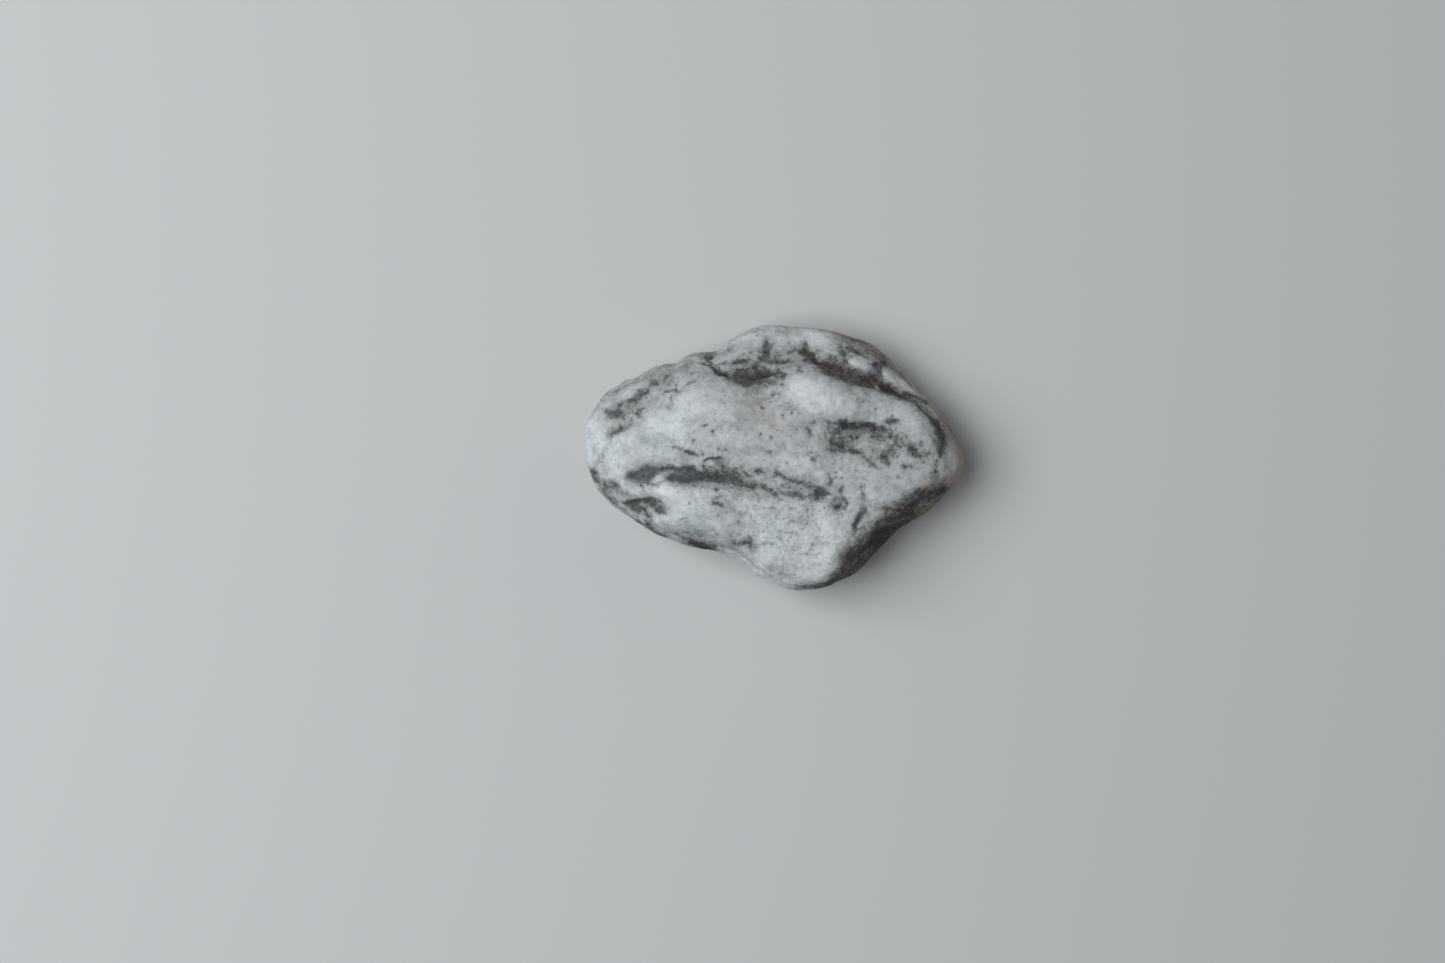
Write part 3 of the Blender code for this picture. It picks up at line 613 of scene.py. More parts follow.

# The south lobe, the dent in the south-west shoulder and the south foot, with haze along the south-west rim
# that is partly painted shade.
SOUTH_MARKS = streaks(
    Mineral.DARK,
    (0.9, ((-23.8, -7.1, 0.3), (-22.4, -6.9, 0.38), (-21.2, -6.7, 0.3))),
    (1.0, ((-21.0, -6.6, 0.22), (-19.9, -6.8, 0.5), (-18.9, -7.2, 0.75), (-18.2, -7.9, 0.6))),
    (0.7, ((-18.6, -7.8, 0.4), (-17.9, -8.2, 0.4), (-17.3, -8.5, 0.25))),
    (0.42, ((-23.0, -7.4, 0.35), (-22.2, -7.9, 0.5), (-21.0, -8.2, 0.75), (-20.0, -8.8, 0.6))),
    (0.7, ((-20.6, -10.6, 0.3), (-18.9, -11.5, 0.4), (-17.2, -12.3, 0.3))),
    (0.55, ((-14.7, -9.4, 0.2), (-14.1, -9.4, 0.2))),
    (0.2, ((-14.6, -11.9, 0.3), (-13.6, -12.2, 0.35), (-13.4, -12.9, 0.25))),
    (1.0, ((-13.6, -13.6, 0.3), (-12.2, -13.8, 0.5), (-10.8, -14.2, 0.4), (-9.6, -14.5, 0.25))),
    (0.4, ((-9.2, -7.1, 0.35), (-8.4, -7.4, 0.4))),
    (0.3, ((-6.8, -7.9, 0.5), (-5.0, -8.7, 0.6), (-3.8, -8.9, 0.4))),
    (0.4, ((1.4, -10.1, 0.2), (2.3, -9.8, 0.25))),
    (0.45, ((-1.4, -11.2, 0.2), (-0.6, -11.1, 0.25), (0.0, -11.4, 0.2))),
    (0.42, ((-0.1, -12.6, 0.2), (0.9, -12.2, 0.22))),
    (0.55, ((-1.9, -13.3, 0.25), (-1.1, -13.2, 0.35))),
    (0.65, ((-4.9, -13.3, 0.4), (-4.1, -12.8, 0.5), (-3.9, -13.8, 0.4))),
    (0.45, ((-6.7, -13.1, 0.3), (-5.9, -13.3, 0.3))),
    (0.8, ((5.8, -14.9, 0.25), (6.4, -14.8, 0.38), (7.1, -15.0, 0.25))),
    (0.3, ((2.0, -14.3, 0.35), (3.0, -14.2, 0.3))),
    (0.34, ((6.4, -12.1, 0.3), (6.7, -12.7, 0.3))),
    (0.35, ((-0.6, -17.0, 0.4), (0.4, -17.4, 0.45), (1.3, -18.0, 0.35))),
    (0.75, ((3.0, -20.1, 0.3), (4.4, -20.2, 0.45), (6.2, -19.9, 0.35))),
    (0.45, ((13.1, -4.3, 0.25), (13.3, -5.0, 0.3), (13.4, -6.4, 0.28))),
    (0.72, ((13.7, -7.8, 0.2), (13.1, -8.8, 0.4), (12.6, -9.6, 0.35), (11.8, -10.6, 0.3))),
    (0.6, ((12.3, -10.1, 0.3), (12.2, -11.2, 0.25), (12.0, -11.8, 0.2))),
    (0.4, ((13.8, -10.3, 0.18), (13.6, -10.9, 0.2))),
) + streaks(
    Mineral.HAZE,
    (1.0, ((-23.3, -7.2, 0.6), (-21.4, -8.1, 1.1), (-20.2, -9.0, 0.8))),
    # Haze along the south-west rim: partly stain, partly painted shade where the edge faces down and away
    # from the light.
    (0.8, (
        (-27.6, -5.4, 0.5), (-24.2, -8.3, 0.6), (-20.8, -10.7, 0.8), (-16.8, -12.5, 0.7),
        (-12.6, -13.6, 0.7), (-8.6, -14.2, 0.6),
    )),
    (0.4, ((-16.2, -10.0, 0.5), (-14.0, -10.6, 0.7), (-12.2, -10.8, 0.5))),
    (0.75, ((-12.4, -12.0, 0.4), (-11.0, -12.2, 0.7), (-9.8, -12.5, 0.5))),
    (0.5, ((-12.4, -11.4, 0.8), (-9.0, -11.6, 1.0), (-5.6, -12.2, 1.0))),
    (0.6, ((-9.6, -7.0, 0.8), (-8.4, -7.6, 0.9))),
    (0.4, ((-13.6, -6.4, 1.0), (-11.0, -8.0, 1.8))),
    (0.6, ((-7.2, -13.2, 0.7), (-4.8, -13.2, 0.9), (-3.8, -14.2, 0.6), (-1.6, -13.2, 0.6))),
    (0.25, ((-1.2, -16.6, 0.6), (0.4, -17.4, 0.6), (1.8, -18.2, 0.4))),
    (0.35, ((2.6, -7.6, 1.4), (5.0, -8.4, 1.2), (2.0, -10.6, 1.4), (5.0, -11.6, 1.0))),
    (0.45, ((13.0, -5.0, 0.6), (13.2, -8.4, 0.7), (12.2, -11.0, 0.6))),
) + streaks(
    Mineral.OLIVE,
    (0.7, ((-22.0, -7.6, 0.8), (-20.8, -8.3, 1.2))),
) + streaks(
    Mineral.WHITE,
    (0.85, ((-17.6, -5.2, 1.0), (-15.8, -6.0, 1.5), (-14.0, -7.4, 1.0))),
    (0.6, ((-5.0, -6.4, 0.8), (-1.4, -7.2, 0.9), (2.4, -6.9, 0.7))),
    (1.0, ((7.0, -9.6, 1.2), (8.3, -12.4, 1.6), (7.3, -15.4, 1.5), (6.2, -17.8, 1.3))),
    (0.5, ((-1.6, -12.0, 1.2), (2.6, -13.4, 2.4), (4.0, -16.6, 2.0))),
    (0.6, ((-4.6, -15.2, 0.5), (-1.0, -18.0, 0.5), (2.4, -19.3, 0.5), (4.4, -18.4, 0.9))),
    (0.5, ((-24.6, -7.6, 0.5), (-22.2, -9.4, 0.5))),
) + streaks(
    Mineral.SPECKLE,
    (0.8, ((-3.0, -7.6, 1.6), (2.0, -8.6, 2.4), (6.0, -9.4, 2.2), (9.0, -10.6, 1.8))),
    (0.8, ((-3.0, -11.6, 1.8), (1.0, -13.4, 2.2), (4.6, -15.6, 2.0), (1.0, -17.4, 1.6))),
    (0.6, ((-21.0, -4.6, 1.0), (-14.0, -4.8, 1.0), (-7.0, -5.6, 1.2), (0.0, -7.2, 1.2))),
    (0.5, ((0.0, -4.6, 1.2), (4.0, -5.2, 1.4), (9.6, -6.8, 1.6))),
    (0.6, ((4.4, 1.0, 1.4), (8.4, -1.6, 1.6), (13.4, -3.8, 1.6), (17.0, -5.4, 1.4))),
    (0.35, ((-26.4, 3.4, 1.4), (-24.4, 5.6, 1.8), (-21.4, 8.4, 1.8), (-16.6, 9.6, 1.4))),
    (0.45, ((5.6, 4.6, 1.4), (10.0, 3.2, 2.2), (14.6, 2.6, 2.2), (18.6, 2.8, 1.8))),
    (0.7, ((16.0, 0.4, 1.6), (20.0, 0.4, 1.8), (24.6, -1.2, 1.8))),
    (0.35, ((-6.0, 14.6, 1.4), (0.0, 15.4, 1.8), (5.0, 16.4, 1.8), (10.0, 15.6, 1.8), (14.0, 15.8, 1.4))),
    (0.4, ((-10.0, -1.6, 1.4), (-5.0, -2.4, 1.4), (-1.0, -3.4, 1.2))),
) + dots(Mineral.DARK, 0.72, 0.2, (
    (-9.3, -4.9), (-9.7, -7.1), (0.0, -8.9), (2.2, -11.6), (-5.9, -9.8), (-21.0, -4.3),
)) + dots(Mineral.DARK, 0.4, 0.19, (
    (-9.3, -6.2), (-7.4, -6.6), (-2.8, -6.9), (-4.6, -8.0), (4.9, -7.8), (-6.0, -11.8), (-9.0, -11.8),
    (4.8, -15.2), (10.4, -11.8), (8.8, -15.6), (-18.6, -5.6), (-22.2, -5.9), (3.4, -9.4), (3.1, -11.9),
    (7.2, -13.0), (-11.2, -10.0), (-7.2, -12.0), (1.4, -7.2), (8.1, -10.6), (-8.9, -9.0),
))

# The dark flank under the south-east shoulder: partly dark mineral, partly painted shade of the flank, which
# faces away from the light.
FLANK_MARKS_AND_SHADE = streaks(
    Mineral.DARK,
    (0.95, ((26.4, -5.0, 0.6), (24.4, -5.8, 0.9), (22.2, -6.9, 1.1), (20.2, -8.4, 1.3))),
    (1.0, ((20.2, -8.8, 1.2), (18.4, -10.0, 1.3), (16.9, -11.4, 1.3), (15.9, -12.8, 1.3))),
    (1.0, ((16.0, -12.6, 1.3), (14.6, -13.6, 1.2), (12.8, -14.8, 1.6), (11.8, -16.2, 1.8))),
    (1.0, ((11.8, -16.2, 1.8), (11.2, -17.8, 1.6), (9.2, -19.4, 0.8), (6.2, -20.1, 0.5))),
    (0.9, ((23.4, -5.2, 0.5), (21.4, -5.8, 0.8), (20.0, -6.8, 0.9), (17.6, -8.8, 0.9), (16.0, -10.2, 0.8))),
    (1.0, (
        (14.8, -11.9, 0.8), (12.8, -13.2, 1.2), (11.2, -14.8, 1.2), (10.4, -16.4, 1.1), (9.6, -17.8, 0.8),
    )),
    (0.6, ((27.4, -5.8, 0.9), (24.0, -8.4, 1.0), (19.4, -11.6, 1.2), (14.0, -16.8, 1.2))),
) + streaks(
    Mineral.OLIVE,
    (1.0, ((27.0, -5.6, 1.2), (21.0, -9.4, 2.2), (16.0, -13.2, 2.4), (12.0, -17.2, 2.4))),
) + streaks(
    Mineral.WARM,
    (1.0, ((27.8, -5.4, 1.2), (23.8, -8.6, 2.2), (18.4, -12.0, 2.6), (12.6, -17.0, 2.4))),
) + streaks(
    Mineral.HAZE,
    (0.8, ((9.0, -19.8, 0.6), (5.0, -20.6, 0.5), (3.0, -20.6, 0.4))),
)

TOP_MARKS = LONG_BAND + MIDDLE_MARKS + WEST_MARKS + REAR_MARKS + EAST_MARKS + SOUTH_MARKS


def smooth_step(low: float, high: float, value: Array) -> Array:
    """Rises from 0 at low to 1 at high along a cubic that is level at both ends.

    Args:
        low: where the rise starts.
        high: where it ends, which may lie below low.
        value: the values to read it at.

    Returns:
        The rise at each value.
    """
    t = np.clip((value - low) / (high - low), 0, 1)
    return t * t * (3 - 2 * t)


@dataclass(frozen=True)
class Rise:
    """A smooth rise from 0 at low to most at high, which may lie below low."""

    low: float
    high: float
    most: float = 1.0

    def at(self, value: Array) -> Array:
        """Reads the rise at each value."""
        return self.most * smooth_step(self.low, self.high, value)


def smooth_line(stations: Sequence[Sequence[float]], steps: int) -> Array:
    """Draws a smooth curve through rows of values.

    Each span is the cubic through its two stations whose slopes come from their neighbours.
    A single row becomes a very short line.

    Args:
        stations: the rows, each starting with x and y.
        steps: how many short steps a span becomes.

    Returns:
        The rows along the curve.
    """
    rows = np.array(stations, float)
    if len(rows) == 1:
        beside = rows.copy()
        beside[:, 0] += SHORT_RUN
        return np.vstack([rows, beside])
    ends = np.vstack([2 * rows[0] - rows[1], rows, 2 * rows[-1] - rows[-2]])
    t = np.arange(steps)[:, None] / steps
    drawn = []
    for before, here, after, later in zip(ends, ends[1:], ends[2:], ends[3:]):
        bend = 2 * before - 5 * here + 4 * after - later
        twist = 3 * here - before - 3 * after + later
        drawn.append(here + 0.5 * t * (after - before + t * (bend + t * twist)))
    return np.vstack(drawn + [rows[-1:]])


def follow_line(x: Array, y: Array, line: Array) -> tuple[Array, Array]:
    """Finds the nearest place of a line for each point.

    Args:
        x: places along X.
        y: places along Y.
        line: rows of x, y and other values.

    Returns:
        The distance to the left of the line, and the other values at the nearest place.
    """
    nearest = np.full_like(x, np.inf)
    side = np.ones_like(x)
    values = np.zeros((line.shape[1] - 2, len(x)))
    for here, after in zip(line, line[1:]):
        dx, dy = after[0] - here[0], after[1] - here[1]
        t = np.clip(((x - here[0]) * dx + (y - here[1]) * dy) / (dx * dx + dy * dy), 0, 1)
        off_x, off_y = x - here[0] - t * dx, y - here[1] - t * dy
        distance = np.hypot(off_x, off_y)
        closer = distance < nearest
        nearest = np.where(closer, distance, nearest)
        side = np.where(closer, np.sign(dx * off_y - dy * off_x), side)
        values = np.where(closer, here[2:, None] + t * (after[2:] - here[2:])[:, None], values)
    return side * nearest, values


def round_curve(bearings: Array, stations: Array, values: Array) -> Array:
    """Reads a smooth closed curve, drawn through values at the stations, at each bearing.

    Each span is a cubic whose slope at a station is that of its two neighbours.

    Args:
        bearings: where to read it, in radians.
        stations: the bearings of the given values.
        values: the given values.

    Returns:
        The value at each bearing.
    """
    order = np.argsort(stations)
    at = np.asarray(stations, float)[order]
    held = np.asarray(values, float)[order]
    at = np.concatenate([at[-2:] - FULL_TURN, at, at[:2] + FULL_TURN])
    held = np.concatenate([held[-2:], held, held[:2]])
    slopes = (held[2:] - held[:-2]) / (at[2:] - at[:-2])
    bearings = np.mod(bearings - at[1], FULL_TURN) + at[1]
    span = np.clip(np.searchsorted(at, bearings, side="right") - 1, 1, len(at) - 3)
    run = at[span + 1] - at[span]
    t = (bearings - at[span]) / run
    return (
        held[span] * (1 + 2 * t) * (1 - t) ** 2
        + slopes[span - 1] * run * t * (1 - t) ** 2
        + held[span + 1] * t**2 * (3 - 2 * t)
        + slopes[span] * run * t**2 * (t - 1)
    )


@dataclass(frozen=True)
class Grain:
    """Smooth random unevenness that fills space, the same each time for one seed."""

    seed: int
    size: float
    octaves: int = 3
    table_size: int = 4096
    octave_shift: float = 17.3
    scatter: tuple[int, int, int] = (73856093, 19349663, 83492791)

    def at(self, points: Array) -> Array:
        """Reads the unevenness.

        The value at a point is the smooth blend of the random values at the eight corners
        of its cell. Each further octave has half the cell size and half the weight.

        Args:
            points: rows of x, y, z.

        Returns:
            A value from -1 to 1 for each point.
        """
        table = np.random.default_rng(self.seed).uniform(-1, 1, self.table_size)
        total = np.zeros(len(points))
        weight = 1.0
        cell = self.size
        for octave in range(self.octaves):
            total += weight * self.one_octave(points / cell + octave * self.octave_shift, table)
            weight *= 0.5
            cell *= 0.5
        all_weights = 2 - 2 * weight
        return total / all_weights

    def one_octave(self, places: Array, table: Array) -> Array:
        """Blends the corner values of each place's cell.

        Each corner picks its value from the table by mixing the bits of its three
        numbers, and weighs by a quintic of how near the place is to it.

        Args:
            places: rows of x, y, z in cells.
            table: the random values.

        Returns:
            The blended value at each place.
        """
        low = np.floor(places).astype(np.int64)
        t = places - low
        t = t * t * t * (t * (6 * t - 15) + 10)
        value = np.zeros(len(places))
        for corner in range(8):
            step = np.array([corner & 1, corner >> 1 & 1, corner >> 2 & 1])
            x_key, y_key, z_key = ((low + step) * np.array(self.scatter)).T
            share = np.prod(np.where(step == 1, t, 1 - t), axis=1)
            value += share * table[(x_key ^ y_key ^ z_key) % self.table_size]
        return value


@dataclass(frozen=True)
class StoneForm:
    """The stone's form: the same crown, rim and underside as its solid, on any grid."""

    crown_height: float = 18.4
    crown_fall: float = 3.8
    crown_reach: tuple[float, float] = (27.0, 19.0)
    east_fall: float = 0.07
    north_fall: float = 0.05
    fall_ease: float = 8.0
    sole_sag: float = 0.55
    sole_rise: float = 3.0
    sole_reach: tuple[float, float] = (26.0, 18.5)
    wear_ease: float = 0.3
    thickness: float = 19.0
    calming: float = 14.0
    calm_reads: int = 9
    belly_fullness: float = 2.0
    line_steps: int = 10
    crowding: float = 0.2
    wave_seed: int = 11
    wave_count: int = 28
    wave_lengths: tuple[float, float] = (9.0, 20.0)
    wave_height: float = 0.3

    def outline_reach(self, bearings: Array) -> Array:
        """How far the outline lies from the middle of the stone at each bearing."""
        x, y = np.array(OUTLINE).T
        return round_curve(bearings, np.arctan2(y, x), np.hypot(x, y))

    def calm_reach(self, bearings: Array) -> Array:
        """The outline's reach, evened out over a few degrees to each side."""
        turns = np.radians(np.linspace(-self.calming, self.calming, self.calm_reads))
        return np.mean([self.outline_reach(bearings + turn) for turn in turns], axis=0)

    def rim_value(self, bearings: Array, name: str) -> Array:
        """Reads one value of the rim's stations round the stone.

        Args:
            bearings: where to read it, in radians.
            name: the field of RimStation.

        Returns:
            The value at each bearing.
        """
        stations = np.radians([station.bearing for station in RIM])
        stations = np.where(stations > math.pi, stations - FULL_TURN, stations)
        return round_curve(bearings, stations, np.array([getattr(station, name) for station in RIM]))

    def eased_fall(self, distance: Array) -> Array:
        """A slope that starts gently: nothing before the middle, then the distance itself."""
        return 0.5 * (distance + np.sqrt(distance**2 + self.fall_ease**2))

    def top_height(self, x: Array, y: Array) -> Array:
        """The top: an oval dome, its swellings and details, less its worn lines and scarps.

        Args:
            x: places along X.
            y: places along Y.

        Returns:
            The height at each place, before the shoulders roll over.
        """
        bowl = (x / self.crown_reach[0]) ** 2 + (y / self.crown_reach[1]) ** 2
        height = self.crown_height - self.crown_fall * bowl
        height -= self.east_fall * self.eased_fall(x) + self.north_fall * self.eased_fall(y)
        for swelling in TOP_SWELLINGS + TOP_DETAILS:
            height += swelling.over(x, y)
        for worn in (TROUGH, BAND_VALLEY):
            distance, (depth, drop) = follow_line(x, y, smooth_line(worn.stations, self.line_steps))
            height -= depth * np.exp(-((distance / worn.width) ** 2))
            height -= drop * smooth_step(-worn.drop_run, worn.drop_run, distance)
        for scarp in SCARPS:
            distance, (drop,) = follow_line(x, y, smooth_line(scarp.stations, self.line_steps))
            step = smooth_step(-scarp.run, scarp.run, distance)
            height -= drop * step * np.exp(-((distance / scarp.fade) ** 2))
        return height

    def sole_height(self, x: Array, y: Array) -> Array:
        """The underside: a shallow oval bowl the other way up, less its swellings.

        Args:
            x: places along X.
            y: places along Y.

        Returns:
            The height at each place, before the belly rolls up to the rim.
        """
        bowl = (x / self.sole_reach[0]) ** 2 + (y / self.sole_reach[1]) ** 2
        height = self.sole_rise * bowl - self.sole_sag
        for swelling in SOLE_SWELLINGS:
            height -= swelling.over(x, y)
        return height

    def rolled(self, distance: Array, width: Array, fullness: Array | float) -> Array:
        """The rise of a rounded shoulder: 0 at the rim, 1 from one width in."""
        share = np.clip(distance / width, 0, 1)
        return (1 - (1 - share) ** fullness) ** (1 / fullness)

    def slow_waves(self, x: Array, y: Array, level: float) -> Array:
        """Gentle unevenness of a level: a sum of plane waves in random directions.

        Args:
            x: places along X.
            y: places along Y.
            level: the height at which the waves are read.

        Returns:
            The height to add at each place.
        """
        chance = np.random.default_rng(self.wave_seed)
        headings = chance.normal(size=(self.wave_count, 3))
        headings /= np.linalg.norm(headings, axis=1)[:, None]
        lengths = chance.uniform(*self.wave_lengths, self.wave_count)
        starts = chance.uniform(0, FULL_TURN, self.wave_count)
        places = np.stack([x, y, np.full_like(x, level)], axis=1)
        phases = places @ (headings * (FULL_TURN / lengths)[:, None]).T + starts
        return self.wave_height * math.sqrt(2 / self.wave_count) * np.sin(phases).sum(axis=1)

    def points(self, directions: Array) -> tuple[Array, Array]:
        """Lays unit directions out as the skin of the stone.

        The plan place of a direction is the outline's reach at its bearing, times the
        cosine of its latitude. Its height blends from the rim to the top or the underside
        along the rolled shoulder.

        Args:
            directions: rows of unit vectors.

        Returns:
            The points, and how far above (up to 1) or below (down to -1) the rim each lies.
        """
        bearings = np.arctan2(directions[:, 1], directions[:, 0])
        latitude = np.arcsin(np.clip(directions[:, 2], -1, 1))
        latitude = latitude + self.crowding * np.sin(2 * latitude)
        share = np.cos(latitude)
        calm = self.calm_reach(bearings)
        reach = calm + (self.outline_reach(bearings) - calm) * share**3
        x, y = reach * share * np.cos(bearings), reach * share * np.sin(bearings)
        inward = reach * (1 - share)
        rim = self.rim_value(bearings, "height")
        fullness = self.rim_value(bearings, "fullness")
        shoulder = self.rolled(inward, self.rim_value(bearings, "shoulder"), fullness)
        belly = self.rolled(inward, self.rim_value(bearings, "belly"), self.belly_fullness)
        top = self.top_height(x, y) + self.slow_waves(x, y, self.thickness)
        sole = self.sole_height(x, y) + self.slow_waves(x, y, 0.0)
        height = np.where(latitude >= 0, rim + (top - rim) * shoulder, rim + (sole - rim) * belly)
        above = np.where(latitude >= 0, shoulder, -belly)
        return np.stack([x, y, height], axis=1), above

    def worn_flat(self, points: Array) -> Array:
        """Wears the underside flat at height 0, with a rounded edge round the flat.

        Args:
            points: rows of x, y, z.

        Returns:
            The points, none of them below 0.
        """
        height = points[:, 2]
        eased = np.maximum(height + self.wear_ease, 0) ** 2 / (4 * self.wear_ease)
        return np.column_stack([points[:, :2], np.where(height > self.wear_ease, height, eased)])


@dataclass(frozen=True)
class Bedding:
    """The stone's layers: nearly level, gently warped, each a little harder or softer."""

    dip_x: float = 0.13
    dip_y: float = -0.09
    broad_pitch: float = 1.9
    broad_seed: int = 43
    broad_crispness: float = 3.5
    broad_share: float = 0.62
    fine_pitch: float = 0.7
    fine_seed: int = 44
    fine_crispness: float = 2.5
    fine_darkness: float = 0.5
    line_seed: int = 46
    broad_warp: float = 1.5
    broad_bends: Grain = Grain(41, 11.0, 2)
    fine_warp: float = 0.3
    fine_bends: Grain = Grain(42, 2.0)
    drift_length: float = 26.0
    dark_layers: Rise = Rise(0.1, -0.7)
    thin_lines: Rise = Rise(0.16, 0.0)
    strike: float = -0.2
    streak_length: float = 10.0
    streak_width: float = 3.2
    streak_octaves: int = 4
    streak_gain: float = 2.0

    def level(self, points: Array) -> Array:
        """How far up through the layers a point lies: its height, tilted and warped.

        Args:
            points: rows of x, y, z.

        Returns:
            The level of each point.
        """
        tilted = points[:, 2] + self.dip_x * points[:, 0] + self.dip_y * points[:, 1]
        warped = tilted + self.broad_warp * self.broad_bends.at(points)
        return warped + self.fine_warp * self.fine_bends.at(points)

    def across(self, points: Array, pitch: float, seed: int) -> Array:
        """A value that changes from layer to layer and hardly along them.

        Args:
            points: rows of x, y, z.
            pitch: the usual thickness of a layer.
            seed: which set of layers.

        Returns:
            A value from -1 to 1 for each point.
        """
        drift = points[:, :2] / self.drift_length
        return Grain(seed, 1.0, 1).at(np.column_stack([self.level(points) / pitch, drift]))

    def ledges(self, points: Array) -> Array:
        """The layers' relief: hard ones stand out with crisp edges, soft ones lie back.

        Args:
            points: rows of x, y, z.

        Returns:
            How far each point stands out, from -1 to 1.
        """
        broad = np.tanh(self.broad_crispness * self.across(points, self.broad_pitch, self.broad_seed))
        fine = np.tanh(self.fine_crispness * self.across(points, self.fine_pitch, self.fine_seed))
        return self.broad_share * broad + (1 - self.broad_share) * fine

    def darkness(self, points: Array) -> Array:
        """How dark each layer is: broad layers with finer ones in them.

        Args:
            points: rows of x, y, z.

        Returns:
            The darkness of each point's layer, from 0 to 1.
        """
        broad = self.across(points, self.broad_pitch, self.broad_seed)
        fine = self.across(points, self.fine_pitch, self.fine_seed)
        return self.dark_layers.at(broad + self.fine_darkness * fine)

    def lines(self, points: Array) -> Array:
        """Thin dark lines between the layers, from 0 to 1."""
        return self.thin_lines.at(np.abs(self.across(points, self.fine_pitch, self.line_seed)))

    def streaks(self, points: Array, seed: int) -> Array:
        """Long blotches that lie along the layers.

        Args:
            points: rows of x, y, z.
            seed: which set of blotches.

        Returns:
            A value from about -1 to 1 for each point.
        """
        cosine, sine = math.cos(self.strike), math.sin(self.strike)
        along = (points[:, 0] * cosine + points[:, 1] * sine) / self.streak_length
        aside = (points[:, 1] * cosine - points[:, 0] * sine) / self.streak_width
        places = np.column_stack([along, aside, points[:, 2] / self.streak_width])
        return self.streak_gain * Grain(seed, 1.0, self.streak_octaves).at(places)


@dataclass(frozen=True)
class Minerals:
    """Where the minerals lie on the skin: the marks on top, the bedding elsewhere."""

    line_steps: int = 5
    margin: float = 3.2
    edge_power: float = 2.4
    wander: float = 0.3
    wander_size: float = 1.7
    fine_wander: float = 0.16
    fine_wander_size: float = 0.6
    x_seeds: tuple[int, int] = (51, 52)
    y_seeds: tuple[int, int] = (53, 54)
    top_edge: Rise = Rise(-0.3, 0.25)
    flank_edge: Rise = Rise(-0.95, -0.45)
    steepness: Rise = Rise(0.8, 0.4)
    layering: float = 0.25
    patches: Grain = Grain(61, 8.0, 2)
    patch_edge: Rise = Rise(-0.4, 0.5)
    layer_dark: float = 0.5
    line_dark: float = 0.35
    least_lines: float = 0.4
    blotch_seed: int = 62
    under_dark: Rise = Rise(0.1, 1.1, 0.55)
    under_layers: float = 0.35
    under_haze: Rise = Rise(-0.2, 0.8, 0.75)
    steep_haze: float = 0.4
    crust_and_shade_seed: int = 64
    crust_and_shade_gaps: Rise = Rise(0.1, 0.7, 0.3)
    brown_patches: Grain = Grain(63, 6.0, 2)
    brown_edge: Rise = Rise(-0.5, 0.5)
    steep_brown: float = 0.8
    under_brown: float = 0.6
    under_warmth: float = 0.6
    least_speckle: float = 0.25
    under_speckle: float = 0.3

    def mark_strength(self, x: Array, y: Array, mark: Mark) -> Array:
        """How strongly one mark shows at each place.

        It is the mark's strength over one plus a power of the distance in half widths, so
        it is even inside, half at the mark's edge, and fades softly past it.

        Args:
            x: places along X.
            y: places along Y.
            mark: the mark.

        Returns:
            The strength at each place.
        """
        line = smooth_line(mark.stations, self.line_steps)
        reach = self.margin * line[:, 2].max()
        near = (x > line[:, 0].min() - reach) & (x < line[:, 0].max() + reach)
        near &= (y > line[:, 1].min() - reach) & (y < line[:, 1].max() + reach)
        strength = np.zeros_like(x)
        distance, (half_width,) = follow_line(x[near], y[near], line)
        strength[near] = mark.strength / (1 + np.abs(distance / half_width) ** self.edge_power)
        return strength

    def wandered(self, places: Array, points: Array, seeds: tuple[int, int]) -> Array:
        """Shifts places by broad and fine unevenness, so that no mark has a ruled edge.

        Args:
            places: the points' places along one axis.
            points: rows of x, y, z.
            seeds: the broad and the fine unevenness's.

        Returns:
            The shifted places.
        """
        broad = self.wander * Grain(seeds[0], self.wander_size, 2).at(points)
        fine = self.fine_wander * Grain(seeds[1], self.fine_wander_size, 1).at(points)
        return places + broad + fine

    def marked(self, points: Array, marks: tuple[Mark, ...]) -> dict[Mineral, Array]:
        """Joins the marks of each mineral: what is left bare by one is what the next can cover.

        Args:
            points: rows of x, y, z.
            marks: the marks.

        Returns:
            The strength of each mineral at each point.
        """
        x = self.wandered(points[:, 0], points, self.x_seeds)
        y = self.wandered(points[:, 1], points, self.y_seeds)
        bare = {mineral: np.ones(len(points)) for mineral in Mineral}
        for mark in marks:
            bare[mark.mineral] *= 1 - self.mark_strength(x, y, mark)
        return {mineral: 1 - share for mineral, share in bare.items()}

    def left_bare(self, points: Array, steep: Array, below: Array, bedding: Bedding) -> tuple[Array, Array]:
        """What the bedding leaves bare on the steep sides and underneath.

        Dark layers and thin lines show on steep parts, more in some patches than in
        others. Underneath, long blotches take their place.

        Args:
            points: rows of x, y, z.
            steep: how steep the skin is at each point, from 0 to 1.
            below: how far under the rim's edge each point lies, from 0 to 1.
            bedding: the layers.

        Returns:
            The share that is bare of dark mineral, and the share that is bare of haze.
        """
        layers = bedding.darkness(points)
        patchy = self.patch_edge.at(self.patches.at(points))
        blotches = bedding.streaks(points, self.blotch_seed)
        line_share = self.least_lines + (1 - self.least_lines) * patchy
        lined = self.line_dark * bedding.lines(points) * line_share
        flank = steep * (self.layer_dark * layers * patchy + lined)
        under = below * (self.under_dark.at(blotches) + self.under_layers * layers * steep)
        hazy = self.under_haze.at(blotches) * below + self.steep_haze * steep * patchy
        return (1 - flank) * (1 - under), 1 - hazy

    def browned(self, points: Array, steep: Array, below: Array) -> Array:
        """How brown the sides and the underside are: in patches, and most where it is steep."""
        patches = self.brown_edge.at(self.brown_patches.at(points))
        return patches * np.maximum(self.steep_brown * steep, self.under_brown * below)

